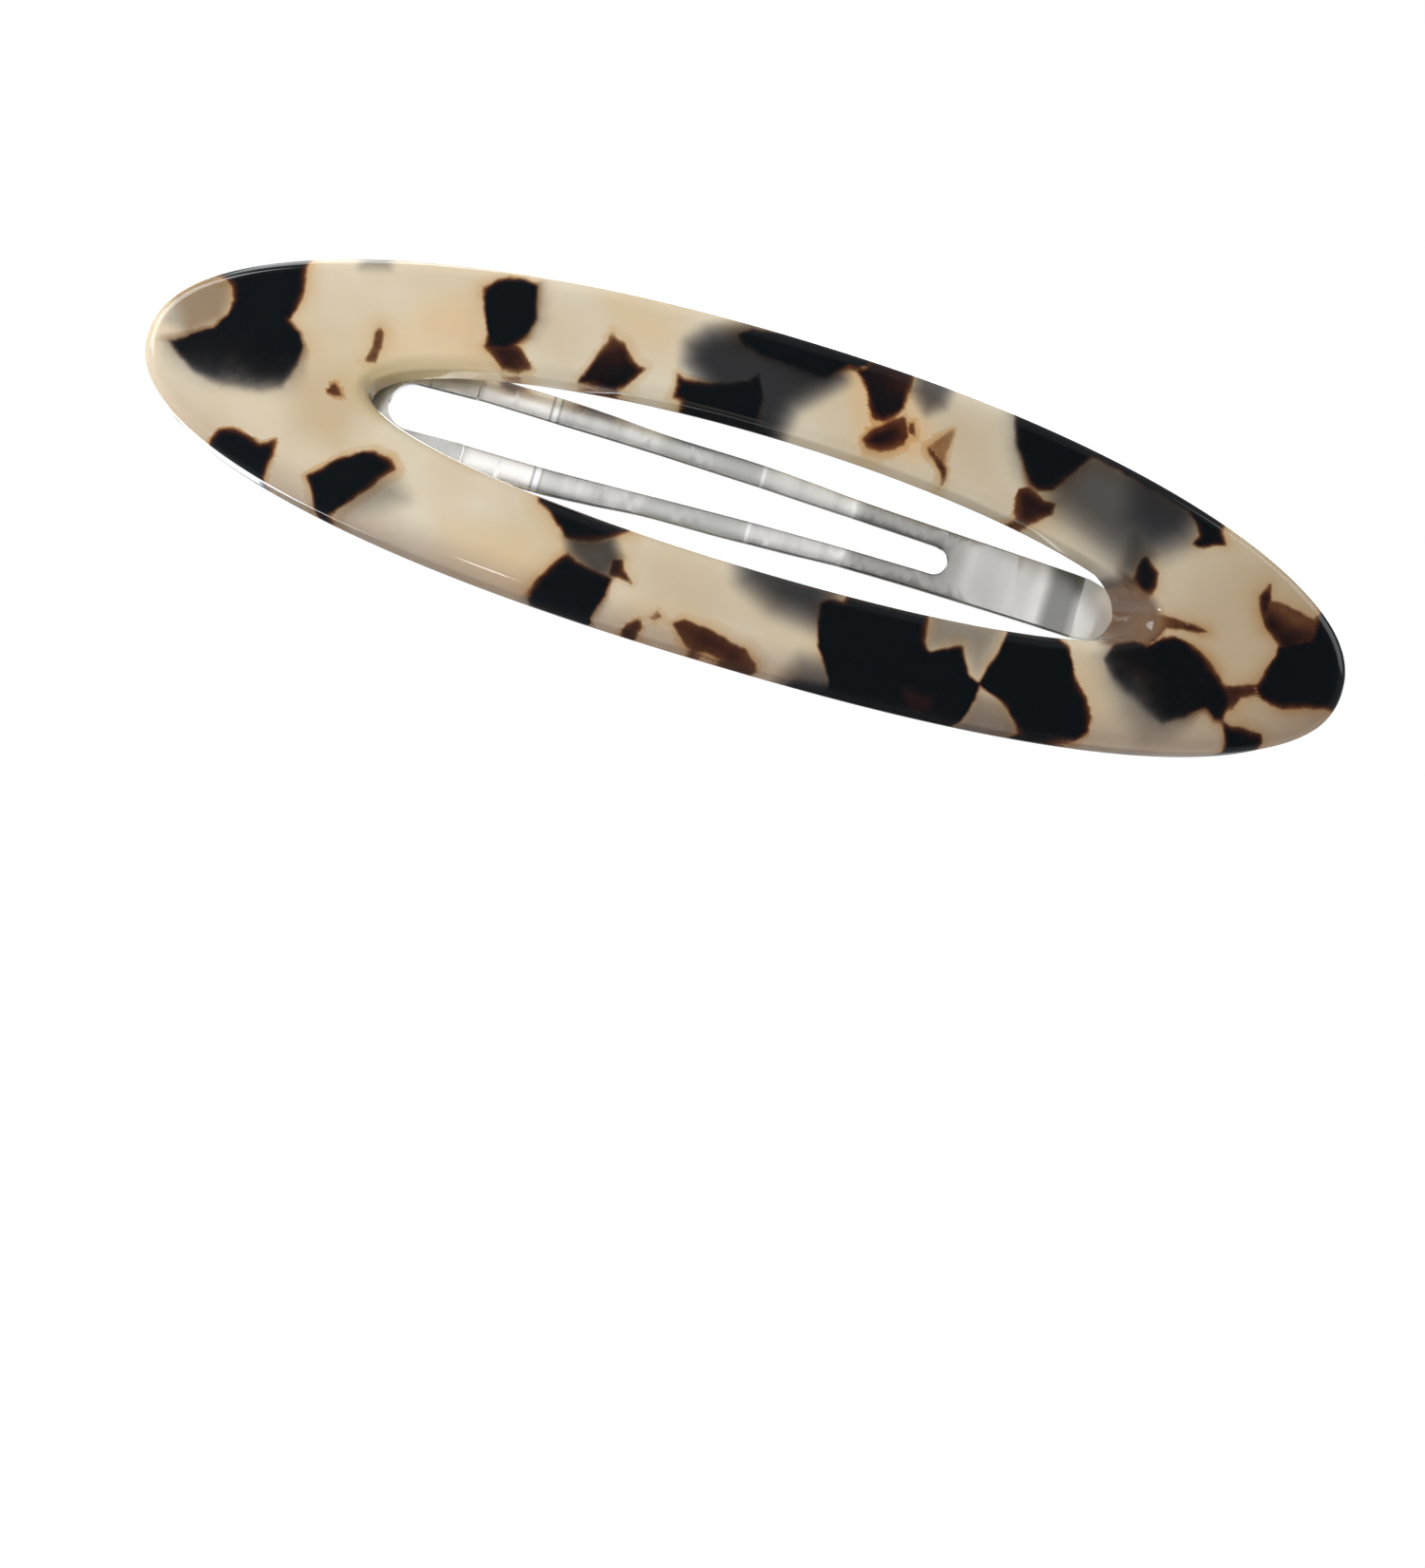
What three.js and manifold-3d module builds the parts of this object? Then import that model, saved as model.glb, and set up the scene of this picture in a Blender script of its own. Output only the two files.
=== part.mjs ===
// An oval cellulose-acetate barrette on a spring-steel snap clip.
// Millimetres. X runs along the barrette from the clip's wide root to its riveted tip, -Y is the side that
// faces out of the hair, +Z is up when it is worn. The origin is the middle of the gap that grips the hair.
import * as THREE from "three";
import { ParametricGeometry } from "three/addons/geometries/ParametricGeometry.js";
import { mergeVertices } from "three/addons/utils/BufferGeometryUtils.js";
import Module from "manifold-3d";

const wasm = await Module();
wasm.setup();

// ---- driving dimensions ----
const archRadius = 135; // front face of the acetate, bent about a vertical axis behind it
const gripDepth = 4.2; // from the crown of the front face back to the origin

const ovalHalfLength = 35;
const ovalHalfHeight = 9.3;
const ovalPower = 2.25; // a superellipse a little fuller than an ellipse
const openingCentre = 0.55;
const openingHalfLength = 22.8;
const openingHalfHeight = 3.95;
const acetateThickness = 3.1;
const frontEdgeRadius = 0.8;
const backEdgeRadius = 0.25;

const steelThickness = 0.45;
const frameDepth = 3.5; // front face of the steel behind the crown
const layerGap = 0.03; // between neighbours that touch
const rootRadius = 6.2; // the root plate's round end
const rootArcX = -22.4;
const rootLeft = rootArcX - rootRadius;
const rootPlateEnd = -16.7; // crease where the root plate meets the spring leaves
const hingeX = -14.3; // middle of the flexing leaves
const hingeGap = 0.2;
const leafReach = 3.45; // the leaves stay inside this height
const slitHeight = 3.5; // the slit beside each leaf ends in a small round
const slitRadius = 0.55;
const slitInset = 0.15; // how far that round reaches into the root plate
const armSplitX = -10; // from here to the tip the upper arm is a strip of its own
const tipPadX = 27.4;
const tipPadRadius = 2.3;
const joggleStart = 20.5;
const joggleEnd = 24;

const rivetShank = 0.75;
const rivetHole = 0.85;
const rivetFrontHead = 0.16; // peened flat inside the adhesive
const rivetBackHead = 0.5;
const rivetHeadRadius = 1.35;

const tongueTipX = 22.2;
const slotRightX = 12.2;
const slotLeftX = -20.5;
const slotLeftRadius = 1.35;
const slotRightRadius = 0.8;

const glueEdgeInset = 0.4; // the adhesive stays this far inside the arms' edges
const rootGlueRadius = 5;

// ---- the arch ----
// A flat drawing has x along the barrette and depth behind the front face; this wraps it on the arch.
function arch(x, depth) {
  const turn = Math.asin(x / archRadius);
  return new THREE.Vector2(
    (archRadius - depth) * Math.sin(turn),
    archRadius - (archRadius - depth) * Math.cos(turn) - gripDepth,
  );
}

// The rivet's axis is square to the arch where it passes through the steel.
const rivetTurn = Math.asin(tipPadX / (archRadius - frameDepth));
const rivetAxisX = archRadius * Math.sin(rivetTurn);

// ---- solids ----
function solid(geometry) {
  const bare = geometry.index ? geometry.clone() : geometry;
  bare.deleteAttribute("normal");
  bare.deleteAttribute("uv");
  const merged = mergeVertices(bare, 1e-5);
  return new wasm.Manifold(
    new wasm.Mesh({
      numProp: 3,
      vertProperties: merged.attributes.position.array,
      triVerts: new Uint32Array(merged.index.array),
    }),
  );
}

function geometryOf(body) {
  const { numProp, vertProperties, triVerts } = body.getMesh();
  const positions = new THREE.BufferAttribute(vertProperties, numProp);
  const geometry = new THREE.BufferGeometry();
  geometry.setAttribute("position", positions);
  geometry.setIndex(new THREE.BufferAttribute(triVerts, 1));
  geometry.computeVertexNormals();
  return geometry;
}

// A front-view outline, cut straight through from front to back.
function prism(shape, curveSegments = 16) {
  const cut = new THREE.ExtrudeGeometry(shape, { depth: 40, bevelEnabled: false, curveSegments });
  cut.rotateX(Math.PI / 2);
  cut.translate(0, 25, 0);
  return solid(cut);
}

// A side-view strip: the front face's points, given a thickness towards the back, across the full height.
function band(facePoints, thickness) {
  const face = facePoints.map(([x, depth]) => arch(x, depth));
  const back = facePoints.map(([x, depth]) => arch(x, depth + thickness));
  const side = new THREE.Shape([...face, ...back.reverse()]);
  const strip = new THREE.ExtrudeGeometry(side, { depth: 24, bevelEnabled: false });
  strip.translate(0, 0, -12);
  return solid(strip);
}

// Points every step along x at one depth.
function run(from, to, depthAt, step = 2.5) {
  const count = Math.max(1, Math.round((to - from) / step));
  return Array.from({ length: count + 1 }, (_, i) => {
    const x = from + ((to - from) * i) / count;
    return [x, depthAt(x)];
  });
}

// ---- front-view outlines ----
function mirrored(upper) {
  const lower = upper.map(([x, z]) => new THREE.Vector2(x, -z)).reverse();
  return [...upper.map(([x, z]) => new THREE.Vector2(x, z)), ...lower];
}

// A smooth line through the points, ends included.
function smooth(points, divisions) {
  const curve = new THREE.SplineCurve(points.map(([x, z]) => new THREE.Vector2(x, z)));
  return curve.getPoints(divisions).map((p) => [p.x, p.y]);
}

// Part of a circle, angles in degrees.
function arc(x, z, radius, from, to, steps) {
  return Array.from({ length: steps + 1 }, (_, i) => {
    const turn = THREE.MathUtils.degToRad(from + ((to - from) * i) / steps);
    return [x + radius * Math.cos(turn), z + radius * Math.sin(turn)];
  });
}

const slotEdge = [
  [slotLeftX + slotLeftRadius, slotLeftRadius],
  [-14, 1.36],
  [-8, 1.27],
  [-2, 1.1],
  [4, 0.93],
  [slotRightX - slotRightRadius, slotRightRadius],
];
const tongueEdge = [
  [hingeX, 2.78],
  [-11, 2.74],
  [-8.5, 2.6],
  [-5.5, 2.38],
  [-1, 2.3],
  [2.5, 2.15],
  [6, 1.95],
  [12, 1.83],
  [19.5, 1.75],
];
const frameOuter = [
  [rootArcX, rootRadius],
  [-16, 6.75],
  [-8, 6.95],
  [0, 6.75],
  [10, 5.95],
  [18, 4.75],
  [24, 3.3],
  [tipPadX + 0.4, tipPadRadius - 0.03],
];
const frameInner = [
  [-16.7, 4.05],
  [-12, 4.6],
  [-5, 4.85],
  [2, 4.75],
  [10, 4.2],
  [17, 3.25],
  [22, 2.1],
];

function slotPoints() {
  const left = arc(slotLeftX + slotLeftRadius, 0, slotLeftRadius, 180, 90, 6);
  const right = arc(slotRightX - slotRightRadius, 0, slotRightRadius, 90, 0, 5);
  return [...left.slice(0, -1), ...smooth(slotEdge, 14), ...right.slice(1)];
}

// ---- acetate front ----
// The oval's and the opening's edge at a turn, moved into the material by inset.
function edgePoint(turn, onOpening, inset) {
  const power = 2 / (onOpening ? 2 : ovalPower);
  const a = onOpening ? openingHalfLength : ovalHalfLength;
  const b = onOpening ? openingHalfHeight : ovalHalfHeight;
  const at = (t) =>
    new THREE.Vector2(
      a * Math.sign(Math.cos(t)) * Math.abs(Math.cos(t)) ** power,
      b * Math.sign(Math.sin(t)) * Math.abs(Math.sin(t)) ** power,
    );
  const along = at(turn + 1e-3).sub(at(turn - 1e-3)).normalize();
  const inward = new THREE.Vector2(-along.y, along.x).multiplyScalar(onOpening ? -inset : inset);
  return at(turn).add(inward).add(new THREE.Vector2(onOpening ? openingCentre : 0, 0));
}

// The wall's section, as [share of the way from the oval to the opening, inset, depth], round from the
// front outer edge. The broad faces have strips between the edges, so that they follow the arch.
function sectionStops() {
  const corner = (share, front, radius, steps, towardsEdge) =>
    Array.from({ length: steps + 1 }, (_, i) => {
      const turn = ((towardsEdge ? steps - i : i) / steps) * (Math.PI / 2);
      const depth = radius * (1 - Math.sin(turn));
      return [share, radius * (1 - Math.cos(turn)), front ? depth : acetateThickness - depth];
    });
  const broad = (inset, depth) => [0.25, 0.5, 0.75].map((share) => [share, inset, depth]);
  return [
    ...corner(0, true, frontEdgeRadius, 4, true),
    ...corner(0, false, backEdgeRadius, 2, false),
    ...broad(backEdgeRadius, acetateThickness),
    ...corner(1, false, backEdgeRadius, 2, true),
    ...corner(1, true, frontEdgeRadius, 4, false),
    ...broad(frontEdgeRadius, 0).reverse(),
  ];
}

function acetateFront() {
  const stops = sectionStops();
  const surface = (u, v, target) => {
    const [share, inset, depth] = stops[Math.round(v * stops.length) % stops.length];
    const turn = -u * 2 * Math.PI;
    const flat = edgePoint(turn, false, inset).lerp(edgePoint(turn, true, inset), share);
    const bent = arch(flat.x, depth);
    target.set(bent.x, bent.y, flat.y);
  };
  return solid(new ParametricGeometry(surface, 96, stops.length));
}

// ---- steel ----
const plateBack = frameDepth + steelThickness;
const plateLeftEnd = [rootLeft - 1, frameDepth];

// The root plate is flat, so only its two ends are given; from the crease on, the arms follow the arch.
function frameFace(joggle) {
  const step = steelThickness + layerGap;
  const lift = (x) => THREE.MathUtils.smoothstep(x, joggleStart, joggleEnd) * (joggle ? step : 0);
  return [
    plateLeftEnd,
    ...run(rootPlateEnd, tipPadX + tipPadRadius + 1, (x) => frameDepth + lift(x), 2),
  ];
}

function frameOutline() {
  const root = arc(rootArcX, 0, rootRadius, 180, 90, 10);
  const tip = arc(tipPadX, 0, tipPadRadius, 80, 0, 6);
  return new THREE.Shape(mirrored([...root.slice(0, -1), ...smooth(frameOuter, 26), ...tip]));
}

function frameHole() {
  const slot = slotPoints().filter(([x]) => x < hingeX);
  const slitEnd = arc(rootPlateEnd - slitInset, slitHeight, slitRadius, 270, 90, 6);
  const leaf = [
    [hingeX, 1.36],
    [hingeX, tongueEdge[0][1]],
  ];
  const end = [[24, 0.9], [24.4, 0]];
  return new THREE.Shape(mirrored([...slot, ...leaf, ...slitEnd, ...smooth(frameInner, 22), ...end]));
}

// Everything between two places along x, to a reach above and below the middle.
function block(fromX, toX, reach, bottom = -reach) {
  const shape = new THREE.Shape([
    new THREE.Vector2(fromX, bottom),
    new THREE.Vector2(toX, bottom),
    new THREE.Vector2(toX, reach),
    new THREE.Vector2(fromX, reach),
  ]);
  return prism(shape);
}

// A round disc through the tip, square to the arch there.
function tipDisc(radius, depthFrom, depthTo, segments = 32) {
  const disc = new THREE.CylinderGeometry(radius, radius, depthTo - depthFrom, segments);
  const centre = arch(rivetAxisX, (depthFrom + depthTo) / 2);
  disc.rotateZ(rivetTurn);
  disc.translate(centre.x, centre.y, 0);
  return solid(disc);
}

// The leaves that bend back from the root plate to the hinge line.
const leafFace = [
  plateLeftEnd,
  [rootPlateEnd, frameDepth],
  [-16.1, frameDepth + 0.1],
  [-12, frameDepth + 0.45],
];

function clipFrame() {
  const blank = prism(frameOutline(), 8).subtract(prism(frameHole(), 8));
  const eye = prism(new THREE.Shape(mirrored(arc(tipPadX, 0, tipPadRadius, 180, 0, 16))));
  const lowerPart = blank.subtract(block(armSplitX, 50, 20, 0)).add(eye);
  const upperPart = blank.intersect(block(armSplitX - 2, 50, 20, 0)).add(eye);
  const lower = lowerPart.subtract(block(rootPlateEnd, hingeX + 0.2, leafReach));
  const upper = upperPart.intersect(band(frameFace(true), steelThickness));
  const leaves = blank.intersect(block(rootPlateEnd - 1, hingeX + 0.2, leafReach));
  const hole = tipDisc(rivetHole, frameDepth - 2, plateBack + 2);
  return lower
    .intersect(band(frameFace(false), steelThickness))
    .add(leaves.intersect(band(leafFace, steelThickness)))
    .add(upper)
    .subtract(hole);
}

const tongueFace = [
  ...leafFace.slice(2),
  [-11.4, frameDepth + 0.5],
  [-5.6, frameDepth + 0.45],
  [0.2, frameDepth + 0.4],
  [5.5, frameDepth + 0.4],
  [10, frameDepth + 0.45],
  [15.2, frameDepth + 0.5],
  [19.6, frameDepth + 0.45],
  [tongueTipX + 0.5, frameDepth + 1.35],
];

function clipTongue() {
  const outer = smooth(tongueEdge, 24);
  const nose = [
    [20.9, 1.45],
    [21.9, 0.75],
    [tongueTipX, 0.3],
  ];
  const blank = prism(new THREE.Shape(mirrored([...outer, ...nose])));
  const slot = prism(new THREE.Shape(mirrored(slotPoints())));
  const root = block(-30, hingeX + hingeGap / 2, 8);
  return blank.subtract(slot).subtract(root).intersect(band(tongueFace, steelThickness));
}

function tipRivet() {
  const front = frameDepth - layerGap;
  const back = plateBack + steelThickness + 2 * layerGap;
  const profile = [
    [0, front - rivetFrontHead],
    [rivetHeadRadius * 0.9, front - rivetFrontHead],
    [rivetHeadRadius, front - rivetFrontHead / 2],
    [rivetHeadRadius, front],
    [rivetShank, front],
    [rivetShank, back],
    [rivetHeadRadius, back],
    [rivetHeadRadius * 0.93, back + rivetBackHead * 0.5],
    [rivetHeadRadius * 0.65, back + rivetBackHead * 0.88],
    [0, back + rivetBackHead],
  ];
  const lathe = new THREE.LatheGeometry(
    profile.map(([r, depth]) => new THREE.Vector2(r, depth - front)),
    28,
  );
  const base = arch(rivetAxisX, front);
  lathe.rotateZ(rivetTurn);
  lathe.translate(base.x, base.y, 0);
  return solid(lathe);
}

// ---- adhesive ----
// It fills the space between the acetate's back and the steel's front.
const glueFront = acetateThickness + layerGap;
const glueThickness = frameDepth - acetateThickness - 2 * layerGap;

function gluePatch(outline) {
  const filler = band(run(-28, 30, () => glueFront, 2), glueThickness);
  return prism(outline).intersect(filler);
}

function armGlue(side) {
  const outer = smooth(frameOuter.slice(1, 6), 12).map(([x, z]) => [x, z - glueEdgeInset]);
  const inner = smooth(frameInner.slice(1, 6), 12).map(([x, z]) => [x, z + glueEdgeInset]);
  const line = [...outer, ...inner.reverse()].map(([x, z]) => new THREE.Vector2(x, z * side));
  return gluePatch(new THREE.Shape(line));
}

function rootGlue() {
  const left = arc(rootArcX - 0.2, 0, rootGlueRadius, 180, 90, 8);
  const pad = mirrored([...left, [-19, 5.2], [-19, 2.6], [-21.8, 2.2], [-22.9, 1.2], [-23.3, 0]]);
  return gluePatch(new THREE.Shape(pad));
}

function tipGlue() {
  const ring = arc(tipPadX, 0, tipPadRadius - 0.3, 0, 360, 24).slice(0, -1);
  const shape = new THREE.Shape(ring.map(([x, z]) => new THREE.Vector2(x, z)));
  const clear = arc(tipPadX, 0, rivetHeadRadius + 0.15, 360, 0, 24).slice(0, -1);
  shape.holes.push(new THREE.Path(clear.map(([x, z]) => new THREE.Vector2(x, z))));
  return gluePatch(shape);
}

// ---- the assembly ----
const acetate = new THREE.MeshStandardMaterial({ color: 0xd9c8a8, roughness: 0.12, metalness: 0 });
const steel = new THREE.MeshStandardMaterial({ color: 0xbfbfba, roughness: 0.3, metalness: 1 });
const rivetSteel = new THREE.MeshStandardMaterial({ color: 0xc8c8c4, roughness: 0.25, metalness: 1 });
const adhesive = new THREE.MeshStandardMaterial({ color: 0xe6dcb4, roughness: 0.35, metalness: 0 });

const barrette = new THREE.Group();

function addPiece(name, body, material) {
  const mesh = new THREE.Mesh(geometryOf(body), material);
  mesh.name = name;
  barrette.add(mesh);
}

addPiece("acetate_front", acetateFront(), acetate);
addPiece("clip_frame", clipFrame(), steel);
addPiece("clip_tongue", clipTongue(), steel);
addPiece("tip_rivet", tipRivet(), rivetSteel);
addPiece("root_adhesive", rootGlue(), adhesive);
addPiece("upper_arm_adhesive", armGlue(1), adhesive);
addPiece("lower_arm_adhesive", armGlue(-1), adhesive);
addPiece("tip_adhesive", tipGlue(), adhesive);

export default barrette;
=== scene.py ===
import bpy
import bmesh
import math
import numpy as np
from mathutils import Matrix, Vector


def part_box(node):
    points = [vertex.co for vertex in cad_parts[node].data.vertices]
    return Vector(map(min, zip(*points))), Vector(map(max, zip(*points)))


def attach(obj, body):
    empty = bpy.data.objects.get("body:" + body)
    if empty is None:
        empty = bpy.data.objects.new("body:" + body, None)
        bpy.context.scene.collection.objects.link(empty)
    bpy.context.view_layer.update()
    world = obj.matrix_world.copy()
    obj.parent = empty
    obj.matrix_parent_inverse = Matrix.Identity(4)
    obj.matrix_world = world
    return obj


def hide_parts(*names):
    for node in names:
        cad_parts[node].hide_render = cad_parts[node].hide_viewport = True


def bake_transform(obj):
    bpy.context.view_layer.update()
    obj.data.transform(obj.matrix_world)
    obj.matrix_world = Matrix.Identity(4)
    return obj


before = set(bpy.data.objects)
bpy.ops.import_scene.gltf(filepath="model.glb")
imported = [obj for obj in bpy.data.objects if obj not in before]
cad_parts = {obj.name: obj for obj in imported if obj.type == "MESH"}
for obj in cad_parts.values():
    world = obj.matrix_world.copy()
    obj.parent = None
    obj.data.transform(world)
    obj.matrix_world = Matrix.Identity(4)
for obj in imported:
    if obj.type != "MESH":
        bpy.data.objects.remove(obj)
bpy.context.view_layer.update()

# An acetate barrette on a snap clip. Metres, the CAD frame: X along it, -Y its front, Z up as worn.
# Outlines below are drawn in millimetres on the flat strip: x along it, then height.
mm = 0.001
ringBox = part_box("acetate_front")
archRadius = 135 * mm  # the front face's bend
crownY = ringBox[0].y  # the foremost line of the front face


# Helpers that more than one piece uses.

def wrapOnArch(bm):
    # a flat piece has x, depth behind the front face, and height
    for v in bm.verts:
        turn = math.asin(v.co.x / archRadius)
        reach = archRadius - v.co.y
        v.co.x = reach * math.sin(turn)
        v.co.y = crownY + archRadius - reach * math.cos(turn)


def wayTo(azimuth, elevation):
    # out from the middle of the barrette, in degrees from its front and from level
    a, e = math.radians(azimuth), math.radians(elevation)
    return Vector((math.sin(a) * math.cos(e), -math.cos(a) * math.cos(e), math.sin(e)))


def makePiece(name, bm, body, nodes, material, sharpAngle=None, flatFaces=False):
    mesh = bpy.data.meshes.new(name)
    bm.to_mesh(mesh)
    bm.free()
    piece = bpy.data.objects.new(name, mesh)
    bpy.context.collection.objects.link(piece)
    mesh.shade_smooth()
    if sharpAngle:
        mesh.set_sharp_from_angle(angle=math.radians(sharpAngle))
    mesh.materials.append(material)
    if flatFaces:
        flats = piece.modifiers.new("flatFaces", "WEIGHTED_NORMAL")
        flats.keep_sharp = True
        flats.weight = 100
    if nodes:
        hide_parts(*nodes)
    if body:
        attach(piece, body)
    return piece


def throughPoints(points, count):
    # a smooth line through given points
    p = np.array(points, dtype=float)
    ends = np.vstack([2 * p[0] - p[1], p, 2 * p[-1] - p[-2]])
    line = []
    for s in np.linspace(0, len(p) - 1 - 1e-9, count):
        i = int(s)
        t = s - i
        a, b, c, d = ends[i:i + 4]
        bend = (2 * a - 5 * b + 4 * c - d) * t * t + (3 * b - a - 3 * c + d) * t ** 3
        line.append(0.5 * (2 * b + (c - a) * t + bend))
    return [tuple(q) for q in line]


def arcPoints(x, z, radius, start, end, count):
    turns = [math.radians(start + (end - start) * i / (count - 1)) for i in range(count)]
    return [(x + radius * math.cos(t), z + radius * math.sin(t)) for t in turns]


def fillSheet(bm, loops):
    # one flat sheet between closed outlines, facing the front
    edges = []
    for loop in loops:
        verts = [bm.verts.new((x * mm, 0, z * mm)) for x, z in loop]
        edges += [bm.edges.new((verts[i - 1], verts[i])) for i in range(len(verts))]
    filled = bmesh.ops.triangle_fill(bm, use_beauty=True, use_dissolve=False, edges=edges,
                                     normal=(0, -1, 0))
    return [f for f in filled["geom"] if isinstance(f, bmesh.types.BMFace)]


def nodeTree(name):
    material = bpy.data.materials.new(name)
    material.use_nodes = True
    tree = material.node_tree
    tree.nodes.clear()
    return material, tree


def addNode(tree, kind, settings=None, **inputs):
    node = tree.nodes.new(kind)
    for key, value in (settings or {}).items():
        setattr(node, key, value)
    for key, value in inputs.items():
        # i0, i1 and so on are sockets by number, any other key is a socket's name
        byNumber = key[0] == "i" and key[1:].isdigit()
        socket = node.inputs[int(key[1:]) if byNumber else key.replace("_", " ")]
        if isinstance(value, bpy.types.NodeSocket):
            tree.links.new(value, socket)
        else:
            socket.default_value = value
    return node


def math2(tree, operation, a, b=0.0, clamp=False):
    settings = {"operation": operation, "use_clamp": clamp}
    return addNode(tree, "ShaderNodeMath", settings, i0=a, i1=b).outputs[0]


def vectorMath(tree, operation, a, b):
    return addNode(tree, "ShaderNodeVectorMath", {"operation": operation}, i0=a, i1=b).outputs[0]


def mixColor(tree, share, a, b):
    node = tree.nodes.new("ShaderNodeMix")
    node.data_type = "RGBA"
    for index, value in ((0, share), (6, a), (7, b)):
        if isinstance(value, bpy.types.NodeSocket):
            tree.links.new(value, node.inputs[index])
        else:
            node.inputs[index].default_value = value if index == 0 else (*value, 1)
    return node.outputs[2]


def ramp(tree, value, low, high, toLow=0.0, toHigh=1.0):
    # a smooth step, which also runs backwards when low is more than high
    settings = {"interpolation_type": "SMOOTHSTEP"}
    node = addNode(tree, "ShaderNodeMapRange", settings, i0=value, i1=low, i2=high, i3=toLow, i4=toHigh)
    return node.outputs[0]


def noise(tree, scale, detail=2.0, rough=0.5, stretch=None, seed=0.0):
    place = addNode(tree, "ShaderNodeTexCoord").outputs["Object"]
    mapping = addNode(tree, "ShaderNodeMapping", None, i0=place)
    mapping.inputs["Location"].default_value = (seed, seed * 0.37, -seed)
    mapping.inputs["Scale"].default_value = stretch or (1, 1, 1)
    node = addNode(tree, "ShaderNodeTexNoise", None, Vector=mapping.outputs[0], Scale=scale)
    node.inputs["Detail"].default_value = detail
    node.inputs["Roughness"].default_value = rough
    return node.outputs[0]


def bumpFrom(tree, height, strength, distance, under=None):
    node = addNode(tree, "ShaderNodeBump", None, Height=height, Strength=strength, Distance=distance)
    if under:
        tree.links.new(under, node.inputs["Normal"])
    return node.outputs[0]


def finishMaterial(tree, settings, **inputs):
    shader = addNode(tree, "ShaderNodeBsdfPrincipled", None, **inputs)
    for key, value in settings.items():
        shader.inputs[key].default_value = value
    out = addNode(tree, "ShaderNodeOutputMaterial")
    tree.links.new(shader.outputs[0], out.inputs[0])
    return shader


def attribute(tree, name):
    return addNode(tree, "ShaderNodeAttribute", {"attribute_name": name}).outputs["Fac"]


# The camera looks up at the front from a little below.
shot = {
    "distance": 0.372,  # from the crown of the front face
    "below": 12.6,  # degrees under the face's own level
    "left": 3.0,  # degrees to the left of square on
    "roll": 16.0,  # the barrette slopes down to the right
    "frameHeight": 0.0862,
    "offset": (0.00252, 0.0159),  # the crown stands right of and above the middle
}


def makeCamera():
    middle = Vector((0, crownY, 0))
    back = wayTo(-shot["left"], -shot["below"])
    level = back.to_track_quat("Z", "Y").to_matrix()
    turned = level @ Matrix.Rotation(math.radians(shot["roll"]), 3, "Z")
    right, up = turned.col[0], turned.col[1]
    camera = bpy.data.objects.new("camera", bpy.data.cameras.new("camera"))
    bpy.context.collection.objects.link(camera)
    spot = middle + back * shot["distance"]
    aim = middle - right * shot["offset"][0] - up * shot["offset"][1]
    look = (spot - aim).normalized()
    side = up.cross(look).normalized()
    axes = Matrix((side, look.cross(side), look)).transposed()
    camera.matrix_world = Matrix.Translation(spot) @ axes.to_4x4()
    camera.data.sensor_width = 36
    camera.data.lens = 36 * shot["distance"] / shot["frameHeight"]
    camera.data.clip_start = 0.01
    camera.data.clip_end = 20
    bpy.context.scene.camera = camera


makeCamera()
print("camera placed")


# How the level drawing lies on the bent face: it slides along it most near "slideX", in millimetres.
drawing = {
    "rise": 0.76,
    "bow": 0.00081,
    "squash": 0.976,
    "slide": 0.75,
    "slideX": 15,
    "slideSpread": 25,
    "sharp": 0.13,  # how softly a flake's edge ends, in millimetres
    "sunkBlur": 1.5,  # and how much softer where it is sunk
}

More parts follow.
